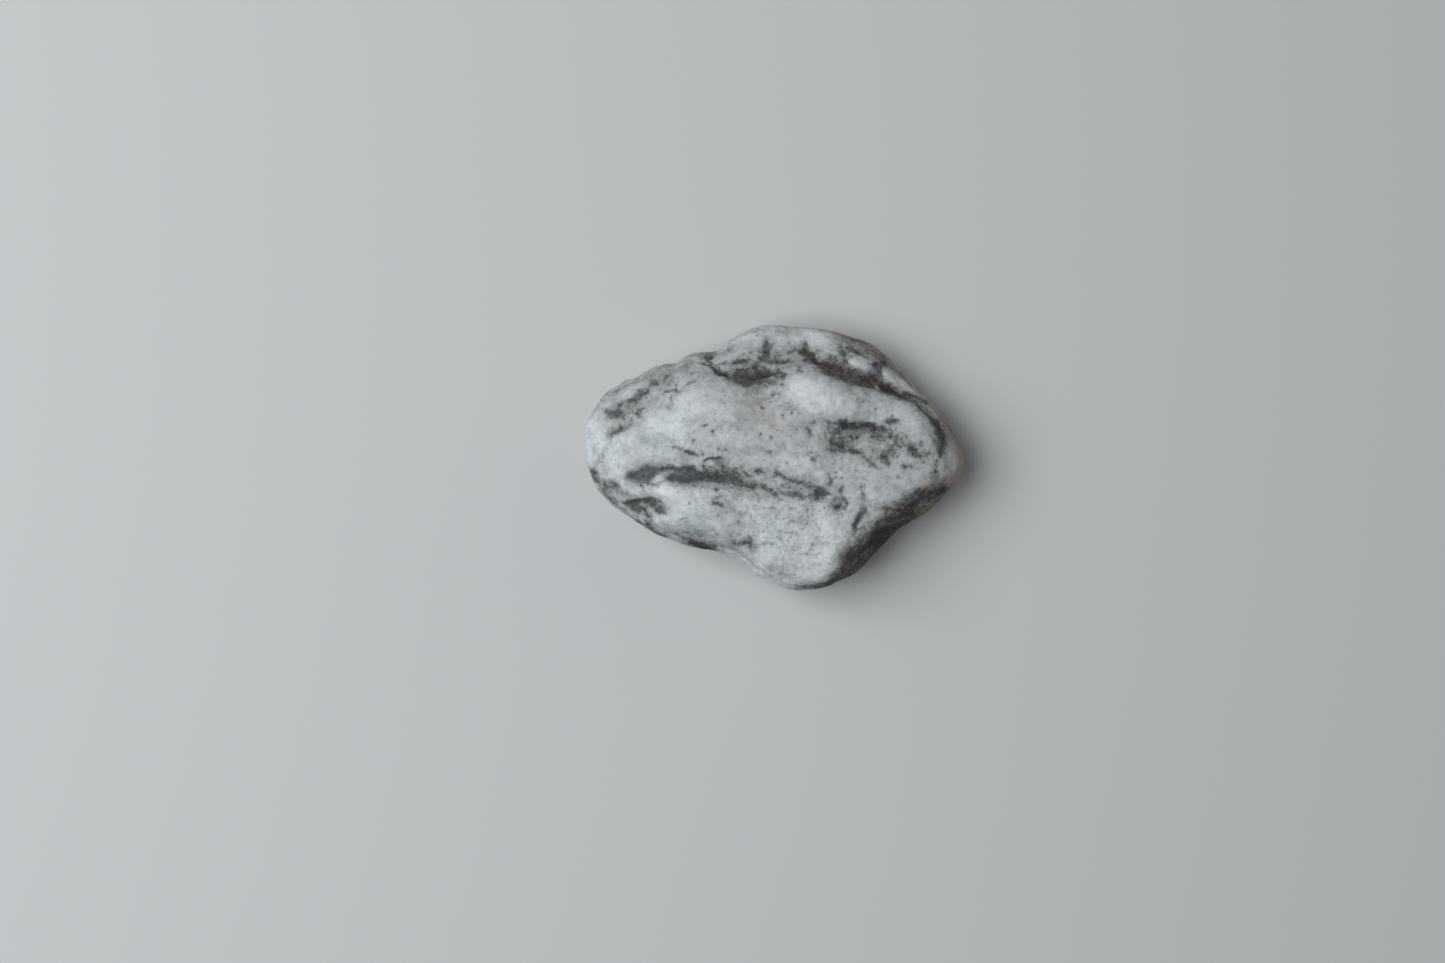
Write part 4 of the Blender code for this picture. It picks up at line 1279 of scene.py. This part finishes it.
    def over(self, points: Array, normals: Array, above: Array, bedding: Bedding) -> dict[Mineral, Array]:
        """Works out every mineral over the whole skin.

        The marks of the top fade out at the rim, and those of the dark flank, partly mineral and partly
        painted shade, run on below it. Elsewhere the dark layers of the bedding take their place. Some
        marks of the top also paint shade along the rim.

        Args:
            points: rows of x, y, z.
            normals: the unit normal at each point.
            above: how far above or below the rim each point lies.
            bedding: the layers.

        Returns:
            The strength of each mineral at each point.
        """
        on_top, on_flank = self.top_edge.at(above), self.flank_edge.at(above)
        top = {kind: found * on_top for kind, found in self.marked(points, TOP_MARKS).items()}
        flank = self.marked(points, FLANK_MARKS_AND_SHADE)
        below = 1 - on_top
        steep = self.steepness.at(np.abs(normals[:, 2]))
        bare_of_dark, bare_of_haze = self.left_bare(points, steep, below, bedding)
        clean = 1 - top[Mineral.WHITE]
        marks = top[Mineral.DARK] * (1 - self.layering * steep * (1 - bedding.darkness(points)))
        # The flank's crust: dark mineral, laid on thick as painted shade of the flank that faces away from
        # the light.
        crust_and_shade_gaps = self.crust_and_shade_gaps.at(bedding.streaks(points, self.crust_and_shade_seed))
        flank_crust_and_shade = flank[Mineral.DARK] * on_flank * (1 - crust_and_shade_gaps)
        dark = 1 - (1 - marks) * bare_of_dark * (1 - flank_crust_and_shade)
        haze = 1 - (1 - top[Mineral.HAZE]) * bare_of_haze * (1 - flank[Mineral.HAZE] * on_top)
        brown = np.maximum(self.browned(points, steep, below), flank[Mineral.OLIVE] * on_flank)
        warm = np.maximum(top[Mineral.WARM], flank[Mineral.WARM] * on_flank)
        speckle = (self.least_speckle + self.under_speckle * below) * clean
        return {
            Mineral.DARK: dark * clean,
            Mineral.HAZE: haze * clean,
            Mineral.OLIVE: np.maximum(top[Mineral.OLIVE], brown),
            Mineral.WARM: np.maximum(warm, self.under_warmth * below * (1 - brown)),
            Mineral.WHITE: top[Mineral.WHITE],
            Mineral.SPECKLE: np.maximum(top[Mineral.SPECKLE], speckle),
        }


@dataclass(frozen=True)
class FineRelief:
    """The fine relief: ledges on the flanks, etched minerals, cracks, dimples and grain."""

    steepness: Rise = Rise(0.95, 0.55)
    wear: Grain = Grain(71, 7.0, 2)
    wear_edge: Rise = Rise(-0.5, 0.5)
    ledge: float = 0.3
    least_ledge: float = 0.25
    etch: float = 0.3
    etch_evening: int = 8
    dimple: float = 0.17
    dimples: Grain = Grain(72, 4.2, 2)
    knob: float = 0.1
    least_knob: float = 0.5
    knobs: Grain = Grain(74, 1.7, 2)
    grain: float = 0.025
    flank_grain: float = 0.06
    grains: Grain = Grain(73, 0.8, 2)
    line_steps: int = 6

    def chips(self, points: Array) -> Array:
        """The chips and knobs of the flank: each is a ball-shaped bell curve round its place.

        Args:
            points: rows of x, y, z.

        Returns:
            How far each point moves outward.
        """
        moved = np.zeros(len(points))
        for chip in CHIPS:
            away = np.linalg.norm(points - (chip.x, chip.y, chip.z), axis=1) / chip.radius
            moved += chip.outward * np.exp(-(away**2))
        return moved

    def cracks(self, points: Array, above: Array) -> Array:
        """The depth of the cracks: each is a narrow bell curve across its line.

        Args:
            points: rows of x, y, z.
            above: how far above or below the rim each point lies.

        Returns:
            The depth at each point.
        """
        depth = np.zeros(len(points))
        for crack in CRACKS:
            line = smooth_line(crack.stations, self.line_steps)
            distance, (deep,) = follow_line(points[:, 0], points[:, 1], line)
            depth = np.maximum(depth, deep * np.exp(-((distance / crack.half_width) ** 2)))
        return depth * (above > 0)

    def outward(self, points: Array, normals: Array, above: Array, bedding: Bedding, dark: Array) -> Array:
        """How far each point moves out along its normal.

        Args:
            points: rows of x, y, z.
            normals: the unit normal at each point.
            above: how far above or below the rim each point lies.
            bedding: the layers.
            dark: the strength of the dark mineral, evened out over the etched hollows.

        Returns:
            The distance at each point.
        """
        steep = self.steepness.at(np.abs(normals[:, 2]))
        worn = self.wear_edge.at(self.wear.at(points))
        ledge = self.ledge * (self.least_ledge + (1 - self.least_ledge) * worn)
        moved = ledge * steep * bedding.ledges(points)
        moved += self.dimple * self.dimples.at(points)
        moved += self.knob * (self.least_knob + worn) * self.knobs.at(points)
        moved += (self.grain + self.flank_grain * steep) * self.grains.at(points)
        return moved + self.chips(points) - self.etch * dark - self.cracks(points, above)


@dataclass(frozen=True)
class QuadSphere:
    """A box cut into an even grid and blown up to a sphere, so that it has no poles."""

    cuts: tuple[int, int, int] = (166, 118, 104)
    uv_columns: int = 3
    uv_rows: int = 2
    uv_gap: float = 0.006
    weld: float = 1e-6

    def side(self, axis: int, sign: int) -> tuple[Array, Array, Array]:
        """Makes one side of the box as a grid of two parameters.

        A grid line at share t of the way from the middle to the edge is turned to the
        angle t times 45 degrees, which keeps the cells even on the sphere.

        Args:
            axis: the axis that the side faces, 0 to 2.
            sign: 1 or -1.

        Returns:
            The unit directions, the quads over them, and the parameters of each direction.
        """
        across, along = (axis + 1) % 3, (axis + 2) % 3
        rows, columns = self.cuts[across], self.cuts[along]
        u, v = np.meshgrid(np.linspace(-1, 1, rows + 1), np.linspace(-1, 1, columns + 1), indexing="ij")
        places = np.empty((u.size, 3))
        places[:, axis] = sign
        places[:, across] = np.tan(u.ravel() * math.pi / 4)
        places[:, along] = np.tan(v.ravel() * math.pi / 4)
        places /= np.linalg.norm(places, axis=1)[:, None]
        index = np.arange(u.size).reshape(u.shape)
        around = (index[:-1, :-1], index[1:, :-1], index[1:, 1:], index[:-1, 1:])
        quads = np.stack(around, axis=-1).reshape(-1, 4)
        return places, quads if sign > 0 else quads[:, ::-1], np.column_stack([u.ravel(), v.ravel()])

    def build(self) -> tuple[Array, Array, Array]:
        """Joins the six sides.

        Returns:
            The unit directions, the quads, and the UV place of each corner of each quad.
        """
        directions, quads, corners = [], [], []
        first = 0
        for number, (axis, sign) in enumerate((axis, sign) for axis in range(3) for sign in (1, -1)):
            places, faces, parameters = self.side(axis, sign)
            if self.cuts[(axis + 1) % 3] > self.cuts[(axis + 2) % 3]:
                parameters = parameters[:, ::-1]
            cell = np.array([number % self.uv_columns, number // self.uv_columns])
            inside = self.uv_gap + (1 - 2 * self.uv_gap) * (parameters + 1) / 2
            spots = (cell + inside) / np.array([self.uv_columns, self.uv_rows])
            directions.append(places)
            quads.append(faces + first)
            corners.append(spots[faces])
            first += len(places)
        places = np.vstack(directions)
        _, chosen, welded = np.unique(np.round(places / self.weld).astype(np.int64), axis=0,
                                      return_index=True, return_inverse=True)
        return places[chosen], welded.reshape(-1)[np.vstack(quads)], np.vstack(corners)


def point_normals(points: Array, quads: Array) -> Array:
    """Each point's unit normal: the sum of the normals of its quads, by area.

    Args:
        points: rows of x, y, z.
        quads: rows of four point numbers.

    Returns:
        The unit normals.
    """
    a, b, c, d = (points[quads[:, corner]] for corner in range(4))
    facing = np.cross(c - a, d - b)
    normals = np.stack([
        np.bincount(quads.ravel(), np.repeat(facing[:, axis], 4), len(points)) for axis in range(3)
    ], axis=1)
    return normals / np.linalg.norm(normals, axis=1)[:, None]


def evened(values: Array, quads: Array, rounds: int) -> Array:
    """Evens values out over the skin: each round gives a point the mean of its quads.

    Args:
        values: one value for each point.
        quads: rows of four point numbers.
        rounds: how often it is done.

    Returns:
        The evened values.
    """
    corners = quads.ravel()
    shares = np.bincount(corners, minlength=len(values))
    for _ in range(rounds):
        means = np.repeat(values[quads].mean(axis=1), 4)
        values = np.bincount(corners, means, len(values)) / shares
    return values


@dataclass(frozen=True)
class Noise:
    """Soft noise: the size of its largest cells in millimetres, and its finer octaves."""

    size: float
    detail: float
    roughness: float


@dataclass(frozen=True)
class Specks:
    """Single grains: the size of a cell in millimetres, how crowded and how strong they are."""

    pitch: float
    crowding: float
    strength: float


class NodeSheet:
    """A material's node tree, with short calls for the nodes that this stone needs."""

    def __init__(self, material: bpy.types.Material) -> None:
        """Clears the material's tree.

        Args:
            material: the material to fill.
        """
        material.use_nodes = True
        self.tree = material.node_tree
        self.tree.nodes.clear()

    def add(self, kind: str, links: Links | None = None, **settings: object) -> bpy.types.Node:
        """Adds a node.

        Args:
            kind: the node's type.
            links: for each input, the output that feeds it or the value it holds.
            settings: properties of the node.

        Returns:
            The node.
        """
        node = self.tree.nodes.new(kind)
        for name, value in settings.items():
            setattr(node, name, value)
        for name, value in (links or {}).items():
            if isinstance(value, bpy.types.NodeSocket):
                self.tree.links.new(value, node.inputs[name])
            else:
                node.inputs[name].default_value = value
        return node

    def math(self, operation: str, a: Socket | float, b: Socket | float = 0.0) -> Socket:
        """Joins two numbers by a sum, product or the like."""
        return self.add("ShaderNodeMath", {0: a, 1: b}, operation=operation).outputs[0]

    def step(self, value: Socket, rise: Rise, start: float = 0.0) -> Socket:
        """Reads a smooth rise at a value.

        Args:
            value: where it is read.
            rise: the rise.
            start: what it has at its low end in place of 0.

        Returns:
            The rise at the value.
        """
        ends = {"From Min": rise.low, "From Max": rise.high, "To Min": start, "To Max": rise.most}
        node = self.add("ShaderNodeMapRange", {"Value": value, **ends}, interpolation_type="SMOOTHSTEP")
        return node.outputs["Result"]

    def mix(self, share: Socket | float, first: Socket | Colour, second: Socket | Colour) -> Socket:
        """Blends two colours.

        Args:
            share: how much of the second shows.
            first: a colour or a socket.
            second: a colour or a socket.

        Returns:
            The blended colour.
        """
        node = self.add("ShaderNodeMix", data_type="RGBA")
        sockets = {"Factor": node.inputs[0], "A": node.inputs[6], "B": node.inputs[7]}
        for name, value in (("Factor", share), ("A", first), ("B", second)):
            if isinstance(value, bpy.types.NodeSocket):
                self.tree.links.new(value, sockets[name])
            elif isinstance(value, tuple):
                sockets[name].default_value = (*value, 1.0)
            else:
                sockets[name].default_value = value
        return node.outputs[2]

    def noise(self, vector: Socket, kind: Noise) -> Socket:
        """Soft noise.

        Args:
            vector: where it is read, in metres.
            kind: how coarse and how rough it is.

        Returns:
            The noise, about 0.5 on average.
        """
        links = {"Vector": vector, "Scale": 1.0 / (kind.size * MM), "Detail": kind.detail}
        return self.add("ShaderNodeTexNoise", {**links, "Roughness": kind.roughness}).outputs["Fac"]

    def attribute(self, mineral: Mineral) -> Socket:
        """Reads one mineral's strength from the surface."""
        node = self.add("ShaderNodeAttribute", attribute_name=mineral.value, attribute_type="GEOMETRY")
        return node.outputs["Fac"]


@dataclass(frozen=True)
class Readings:
    """What the finish reads at a place: the place itself, the noises and the minerals."""

    place: Socket
    cloud: Socket
    mottle: Socket
    clot: Socket
    fleck: Socket
    grain: Socket
    mineral: dict[Mineral, Socket]


@dataclass(frozen=True)
class MarbleFinish:
    """Dry, water-worn marble: milky white, with dark grains that thicken into layers."""

    name: str = "worn_marble"
    cool_white: Colour = (0.7, 0.735, 0.745)
    dull_white: Colour = (0.47, 0.485, 0.485)
    pink_white: Colour = (0.6, 0.555, 0.56)
    bright_white: Colour = (0.84, 0.86, 0.86)
    brown_white: Colour = (0.43, 0.355, 0.29)
    grey_stain: Colour = (0.2, 0.21, 0.208)
    olive_stain: Colour = (0.2, 0.2, 0.165)
    dark_grain: Colour = (0.044, 0.046, 0.05)
    grey_grain: Colour = (0.098, 0.102, 0.105)
    # Nearly black olive: the grain's own colour, made darker still to paint the shade of the south-east
    # flank.
    olive_grain_and_flank_shade: Colour = (0.03, 0.025, 0.017)
    bedding_turn: float = -0.2
    bedding_stretch: float = 0.7
    cloud: Noise = Noise(6.5, 3.0, 0.55)
    mottle: Noise = Noise(2.6, 5.0, 0.62)
    clot: Noise = Noise(1.1, 5.0, 0.66)
    fleck: Noise = Noise(0.7, 3.0, 0.7)
    grain: Noise = Noise(0.34, 3.0, 0.7)
    pink_clouds: Rise = Rise(0.45, 0.75, 0.3)
    dull_mottles: Rise = Rise(0.38, 0.68, 0.6)
    dull_flecks: Rise = Rise(0.42, 0.72, 0.5)
    brown_parts: Rise = Rise(0.5, 1.0, 0.9)
    brightness: float = 0.8
    haze_share: float = 0.5
    speckle_share: float = 0.04
    mottle_weight: float = 0.7
    speckle_weight: float = 1.4
    clot_weight: float = 0.7
    grain_weight: float = 1.0
    fleck_weight: float = 0.8
    most_stain: float = 0.92
    solid_grain: Rise = Rise(0.28, 1.25)
    grey_clots: Rise = Rise(0.35, 0.7)
    olive_share: float = 0.8
    large_specks: Specks = Specks(0.9, 1.3, 0.55)
    small_specks: Specks = Specks(0.5, 2.2, 0.45)
    speck_share: float = 0.16
    stray_specks: float = 0.01
    speck_edge: Rise = Rise(0.36, 0.02)
    speck_raggedness: float = 0.9
    speck_variety: float = 0.3
    white_roughness: float = 0.5
    dark_roughness: float = 0.78
    uneven_roughness: float = 0.3
    shine: float = 0.3
    milkiness: float = 0.12
    milk_reach: float = 0.7
    milk_colour: Colour = (1.0, 0.8, 0.65)
    bump_height: float = 0.12
    clot_bump: float = 0.5
    grain_bump: float = 0.45
    solid_bump: float = 0.25

    def uneven(self, sheet: NodeSheet, noise: Socket, weight: float) -> Socket:
        """Turns noise into a value about 0 on average, as strong as its weight."""
        return sheet.math("MULTIPLY", sheet.math("SUBTRACT", noise, 0.5), weight)

    def read(self, sheet: NodeSheet) -> Readings:
        """Reads the noises and the minerals. Mottles and clots are drawn out along the bedding.

        Args:
            sheet: the node sheet.

        Returns:
            The readings.
        """
        place = sheet.add("ShaderNodeTexCoord").outputs["Object"]
        turned = {"Rotation": (0.0, 0.0, self.bedding_turn), "Scale": (self.bedding_stretch, 1.0, 1.0)}
        along = sheet.add("ShaderNodeMapping", {"Vector": place, **turned}).outputs["Vector"]
        return Readings(
            place=place,
            cloud=sheet.noise(place, self.cloud),
            mottle=sheet.noise(along, self.mottle),
            clot=sheet.noise(along, self.clot),
            fleck=sheet.noise(place, self.fleck),
            grain=sheet.noise(place, self.grain),
            mineral={kind: sheet.attribute(kind) for kind in Mineral},
        )

    def white_stone(self, sheet: NodeSheet, read: Readings) -> Socket:
        """The colour of the clean stone: cool, with pink clouds, dull mottles and brown parts.

        Args:
            sheet: the node sheet.
            read: the readings.

        Returns:
            The colour.
        """
        warm = read.mineral[Mineral.WARM]
        pinkness = sheet.math("ADD", warm, sheet.step(read.cloud, self.pink_clouds))
        white = sheet.mix(sheet.math("MINIMUM", pinkness, 1.0), self.cool_white, self.pink_white)
        white = sheet.mix(sheet.step(read.mottle, self.dull_mottles), white, self.dull_white)
        bright = sheet.math("MULTIPLY", read.mineral[Mineral.WHITE], self.brightness)
        white = sheet.mix(bright, white, self.bright_white)
        white = sheet.mix(sheet.step(read.fleck, self.dull_flecks), white, self.dull_white)
        return sheet.mix(sheet.step(warm, self.brown_parts), white, self.brown_white)

    def mineral_amount(self, sheet: NodeSheet, read: Readings) -> Socket:
        """How much dark mineral lies at a place: its marks, broken up by mottles and clots.

        Args:
            sheet: the node sheet.
            read: the readings.

        Returns:
            The amount, which can lie outside 0 to 1.
        """
        speckle = read.mineral[Mineral.SPECKLE]
        haze = sheet.math("MULTIPLY", read.mineral[Mineral.HAZE], self.haze_share)
        amount = sheet.math("ADD", read.mineral[Mineral.DARK], haze)
        amount = sheet.math("ADD", amount, sheet.math("MULTIPLY", speckle, self.speckle_share))
        amount = sheet.math("ADD", amount, self.uneven(sheet, read.mottle, self.mottle_weight))
        flecks = sheet.math("MULTIPLY", self.uneven(sheet, read.fleck, self.speckle_weight), speckle)
        amount = sheet.math("ADD", amount, flecks)
        return sheet.math("ADD", amount, self.uneven(sheet, read.clot, self.clot_weight))

    def solid_share(self, sheet: NodeSheet, read: Readings, amount: Socket) -> Socket:
        """How far the grains have closed up to solid mineral.

        Args:
            sheet: the node sheet.
            read: the readings.
            amount: how much dark mineral there is.

        Returns:
            The share, from 0 to 1.
        """
        stipple = sheet.math("ADD", read.mineral[Mineral.SPECKLE], 1.0)
        grains = sheet.math("MULTIPLY", self.uneven(sheet, read.grain, self.grain_weight), stipple)
        grainy = sheet.math("ADD", amount, grains)
        grainy = sheet.math("ADD", grainy, self.uneven(sheet, read.fleck, self.fleck_weight))
        return sheet.step(grainy, self.solid_grain)

    def specks(
        self, sheet: NodeSheet, place: Socket, ragged: Socket, density: Socket, kind: Specks,
    ) -> Socket:
        """Small uneven grains, one at most to a cell, in as many cells as the density asks.

        Args:
            sheet: the node sheet.
            place: where they are read.
            ragged: noise that makes their edges uneven.
            density: the share of cells that hold a grain, before crowding.
            kind: the size, crowding and strength of the grains.

        Returns:
            Up to the kind's strength in a grain, and 0 beside it.
        """
        links = {"Vector": place, "Scale": 1.0 / (kind.pitch * MM)}
        cells = sheet.add("ShaderNodeTexVoronoi", links, feature="F1")
        chance = sheet.add("ShaderNodeSeparateColor", {0: cells.outputs["Color"]})
        away = sheet.math("ADD", cells.outputs["Distance"], self.uneven(sheet, ragged, self.speck_raggedness))
        away = sheet.math("ADD", away, self.uneven(sheet, chance.outputs[1], self.speck_variety))
        crowded = sheet.math("MULTIPLY", density, kind.crowding)
        held = sheet.math("LESS_THAN", chance.outputs[0], crowded)
        inside = sheet.math("MULTIPLY", sheet.step(away, self.speck_edge), held)
        return sheet.math("MULTIPLY", inside, kind.strength)

    def speckled(self, sheet: NodeSheet, read: Readings) -> Socket:
        """How strongly a single grain shows at a place.

        Args:
            sheet: the node sheet.
            read: the readings.

        Returns:
            The strength, from 0 to 1.
        """
        density = sheet.math("MULTIPLY", read.mineral[Mineral.SPECKLE], self.speck_share)
        density = sheet.math("ADD", density, self.stray_specks)
        large = self.specks(sheet, read.place, read.grain, density, self.large_specks)
        small = self.specks(sheet, read.place, read.fleck, density, self.small_specks)
        return sheet.math("MAXIMUM", large, small)

    def colour(self, sheet: NodeSheet, read: Readings, amount: Socket, solid: Socket) -> Socket:
        """Joins the colours: white stone, its wash of stain, solid mineral, single grains.

        Args:
            sheet: the node sheet.
            read: the readings.
            amount: how much dark mineral there is.
            solid: how far it has closed up.

        Returns:
            The colour.
        """
        olive = read.mineral[Mineral.OLIVE]
        wash = sheet.math("MINIMUM", sheet.math("MAXIMUM", amount, 0.0), self.most_stain)
        stain = sheet.mix(olive, self.grey_stain, self.olive_stain)
        dark = sheet.mix(sheet.step(read.clot, self.grey_clots), self.dark_grain, self.grey_grain)
        # Where olive is strong, as on the south-east flank, this solid colour is partly painted shade.
        dark = sheet.mix(sheet.math("MULTIPLY", olive, self.olive_share), dark, self.olive_grain_and_flank_shade)
        washed = sheet.mix(wash, self.white_stone(sheet, read), stain)
        colour = sheet.mix(solid, washed, dark)
        return sheet.mix(self.speckled(sheet, read), colour, self.dark_grain)

    def bump(self, sheet: NodeSheet, read: Readings, solid: Socket) -> Socket:
        """The finest roughness of the skin: clots and grains stand up, solid mineral lies low.

        Args:
            sheet: the node sheet.
            read: the readings.
            solid: how far the mineral has closed up.

        Returns:
            The bumped normal.
        """
        clots = sheet.math("MULTIPLY", read.clot, self.clot_bump)
        height = sheet.math("ADD", clots, sheet.math("MULTIPLY", read.grain, self.grain_bump))
        height = sheet.math("SUBTRACT", height, sheet.math("MULTIPLY", solid, self.solid_bump))
        links = {"Strength": 1.0, "Distance": self.bump_height * MM, "Height": height}
        return sheet.add("ShaderNodeBump", links).outputs["Normal"]

    def make(self) -> bpy.types.Material:
        """Makes the material.

        Returns:
            The material.
        """
        material = bpy.data.materials.new(self.name)
        sheet = NodeSheet(material)
        read = self.read(sheet)
        amount = self.mineral_amount(sheet, read)
        solid = self.solid_share(sheet, read, amount)
        rough = sheet.step(solid, Rise(0.0, 1.0, self.dark_roughness), self.white_roughness)
        rough = sheet.math("ADD", rough, self.uneven(sheet, read.clot, self.uneven_roughness))
        shader = sheet.add("ShaderNodeBsdfPrincipled", {
            "Base Color": self.colour(sheet, read, amount, solid),
            "Roughness": rough,
            "Normal": self.bump(sheet, read, solid),
            "Specular IOR Level": self.shine,
            "Subsurface Weight": self.milkiness,
            "Subsurface Scale": self.milk_reach * MM,
            "Subsurface Radius": self.milk_colour,
        })
        sheet.add("ShaderNodeOutputMaterial", {"Surface": shader.outputs["BSDF"]})
        return material


@dataclass(frozen=True)
class RiverRock:
    """The whole stone: one closed surface in place of its solid."""

    form: StoneForm = StoneForm()
    bedding: Bedding = Bedding()
    minerals: Minerals = Minerals()
    relief: FineRelief = FineRelief()
    grid: QuadSphere = QuadSphere()
    finish: MarbleFinish = MarbleFinish()

    def skin(self, directions: Array, quads: Array) -> tuple[Array, dict[Mineral, Array]]:
        """Works out the finished skin: the form, moved along its normals by the fine relief.

        Args:
            directions: rows of unit vectors.
            quads: rows of four direction numbers.

        Returns:
            The points in millimetres, and the minerals over them.
        """
        points, above = self.form.points(directions)
        normals = point_normals(points, quads)
        found = self.minerals.over(points, normals, above, self.bedding)
        etched = evened(found[Mineral.DARK], quads, self.relief.etch_evening)
        outward = self.relief.outward(points, normals, above, self.bedding, etched)
        return self.form.worn_flat(points + normals * outward[:, None]), found

    def fitted(self, points: Array) -> Array:
        """Fits the points to the box of the stone's solid.

        Args:
            points: rows of x, y, z in millimetres.

        Returns:
            The points in metres.
        """
        box_low, box_high = (np.array(corner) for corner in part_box(NODE))
        low, high = points.min(axis=0), points.max(axis=0)
        return box_low + (points - low) * (box_high - box_low) / (high - low)

    def mesh(self) -> bpy.types.Mesh:
        """Builds the stone's mesh with its minerals as attributes and its own UV map.

        Returns:
            The mesh.
        """
        directions, quads, corners = self.grid.build()
        points, found = self.skin(directions, quads)
        mesh = bpy.data.meshes.new("river_rock_skin")
        mesh.from_pydata(self.fitted(points).tolist(), [], quads.tolist())
        mesh.shade_smooth()
        for mineral, strength in found.items():
            layer = mesh.attributes.new(mineral.value, "FLOAT", "POINT")
            layer.data.foreach_set("value", strength.astype(np.float32))
        uv = mesh.uv_layers.new(name="OFBake")
        uv.data.foreach_set("uv", corners.astype(np.float32).ravel())
        mesh.validate()
        return mesh

    def build(self) -> bpy.types.Object:
        """Makes the stone and sets it in place of its solid.

        Returns:
            The stone.
        """
        mesh = self.mesh()
        mesh.materials.append(self.finish.make())
        stone = bpy.data.objects.new("river_rock_stone", mesh)
        bpy.context.scene.collection.objects.link(stone)
        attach(stone, BODY)
        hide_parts(NODE)
        return stone


@dataclass(frozen=True)
class SoftLamp:
    """A square soft light that faces a place on the stone."""

    name: str
    place: tuple[float, float, float]
    size: float
    power: float
    colour: Colour

    def build(self) -> bpy.types.Object:
        """Makes the light.

        Returns:
            The light.
        """
        lamp = bpy.data.lights.new(self.name, "AREA")
        lamp.size = self.size
        lamp.energy = self.power
        lamp.color = self.colour
        holder = bpy.data.objects.new(self.name, lamp)
        holder.location = self.place
        holder.rotation_mode = "QUATERNION"
        holder.rotation_quaternion = (-Vector(self.place)).to_track_quat("-Z", "Y")
        bpy.context.scene.collection.objects.link(holder)
        return holder


@dataclass(frozen=True)
class Studio:
    """A pale floor, soft light from the left and a camera that looks straight down."""

    picture: tuple[int, int] = (1445, 963)
    stone_middle: tuple[float, float] = (775.1, 457.4)
    stone_pixels: float = 378.0
    stone_length: float = 60.0
    rim_height: float = 7.5
    lens: float = 50.0
    sensor: float = 36.0
    floor_size: float = 3.0
    nearest: float = 0.01
    floor_colour: Colour = (0.66, 0.665, 0.66)
    floor_roughness: float = 0.9
    sky_colour: Colour = (0.86, 0.93, 1.0)
    sky_strength: float = 0.14
    lamps: tuple[SoftLamp, ...] = (
        SoftLamp("key_light", (-0.44, 0.04, 0.62), 0.6, 5.0, (0.94, 0.98, 1.0)),
        SoftLamp("warm_fill", (0.7, 0.35, 0.4), 0.6, 0.4, (1.0, 0.84, 0.68)),
    )

    def camera(self) -> bpy.types.Object:
        """Sets the camera over the stone, as high as the stone's size in the picture asks.

        Returns:
            The camera.
        """
        pixel = self.stone_length / self.stone_pixels
        width = self.picture[0] * pixel
        height = width * self.lens / self.sensor + self.rim_height
        across = (self.picture[0] / 2 - self.stone_middle[0]) * pixel
        along = (self.stone_middle[1] - self.picture[1] / 2) * pixel
        data = bpy.data.cameras.new("camera")
        data.lens = self.lens
        data.sensor_width = self.sensor
        data.sensor_fit = "HORIZONTAL"
        data.clip_start = self.nearest
        holder = bpy.data.objects.new("camera", data)
        holder.location = (across * MM, along * MM, height * MM)
        bpy.context.scene.collection.objects.link(holder)
        bpy.context.scene.camera = holder
        return holder

    def floor_material(self) -> bpy.types.Material:
        """Plain pale floor.

        Returns:
            The material.
        """
        material = bpy.data.materials.new("pale_floor")
        sheet = NodeSheet(material)
        links = {"Base Color": (*self.floor_colour, 1.0), "Roughness": self.floor_roughness}
        shader = sheet.add("ShaderNodeBsdfPrincipled", links)
        sheet.add("ShaderNodeOutputMaterial", {"Surface": shader.outputs["BSDF"]})
        return material

    def floor(self) -> bpy.types.Object:
        """Lays the floor at height 0.

        Returns:
            The floor.
        """
        half = self.floor_size / 2
        mesh = bpy.data.meshes.new("floor")
        corners = [(-half, -half, 0), (half, -half, 0), (half, half, 0), (-half, half, 0)]
        mesh.from_pydata(corners, [], [(0, 1, 2, 3)])
        mesh.materials.append(self.floor_material())
        floor = bpy.data.objects.new("floor", mesh)
        bpy.context.scene.collection.objects.link(floor)
        return floor

    def sky(self) -> bpy.types.World:
        """Gives the room its even, slightly cool light.

        Returns:
            The world.
        """
        world = bpy.data.worlds.new("room_light")
        world.use_nodes = True
        background = world.node_tree.nodes["Background"]
        background.inputs["Color"].default_value = (*self.sky_colour, 1.0)
        background.inputs["Strength"].default_value = self.sky_strength
        bpy.context.scene.world = world
        return world

    def build(self) -> None:
        """Builds the camera, the floor and the light."""
        self.camera()
        self.floor()
        self.sky()
        for lamp in self.lamps:
            lamp.build()
        bpy.context.scene.view_settings.view_transform = "Standard"


def main() -> None:
    """Builds the studio and the stone, and reports each piece."""
    logging.basicConfig(level=logging.INFO, format="%(name)s: %(message)s")
    Studio().build()
    log.info("camera, floor and lights are set")
    stone = RiverRock().build()
    log.info("%s: %d points, %d faces", stone.name, len(stone.data.vertices), len(stone.data.polygons))


if __name__ == "__main__":
    main()
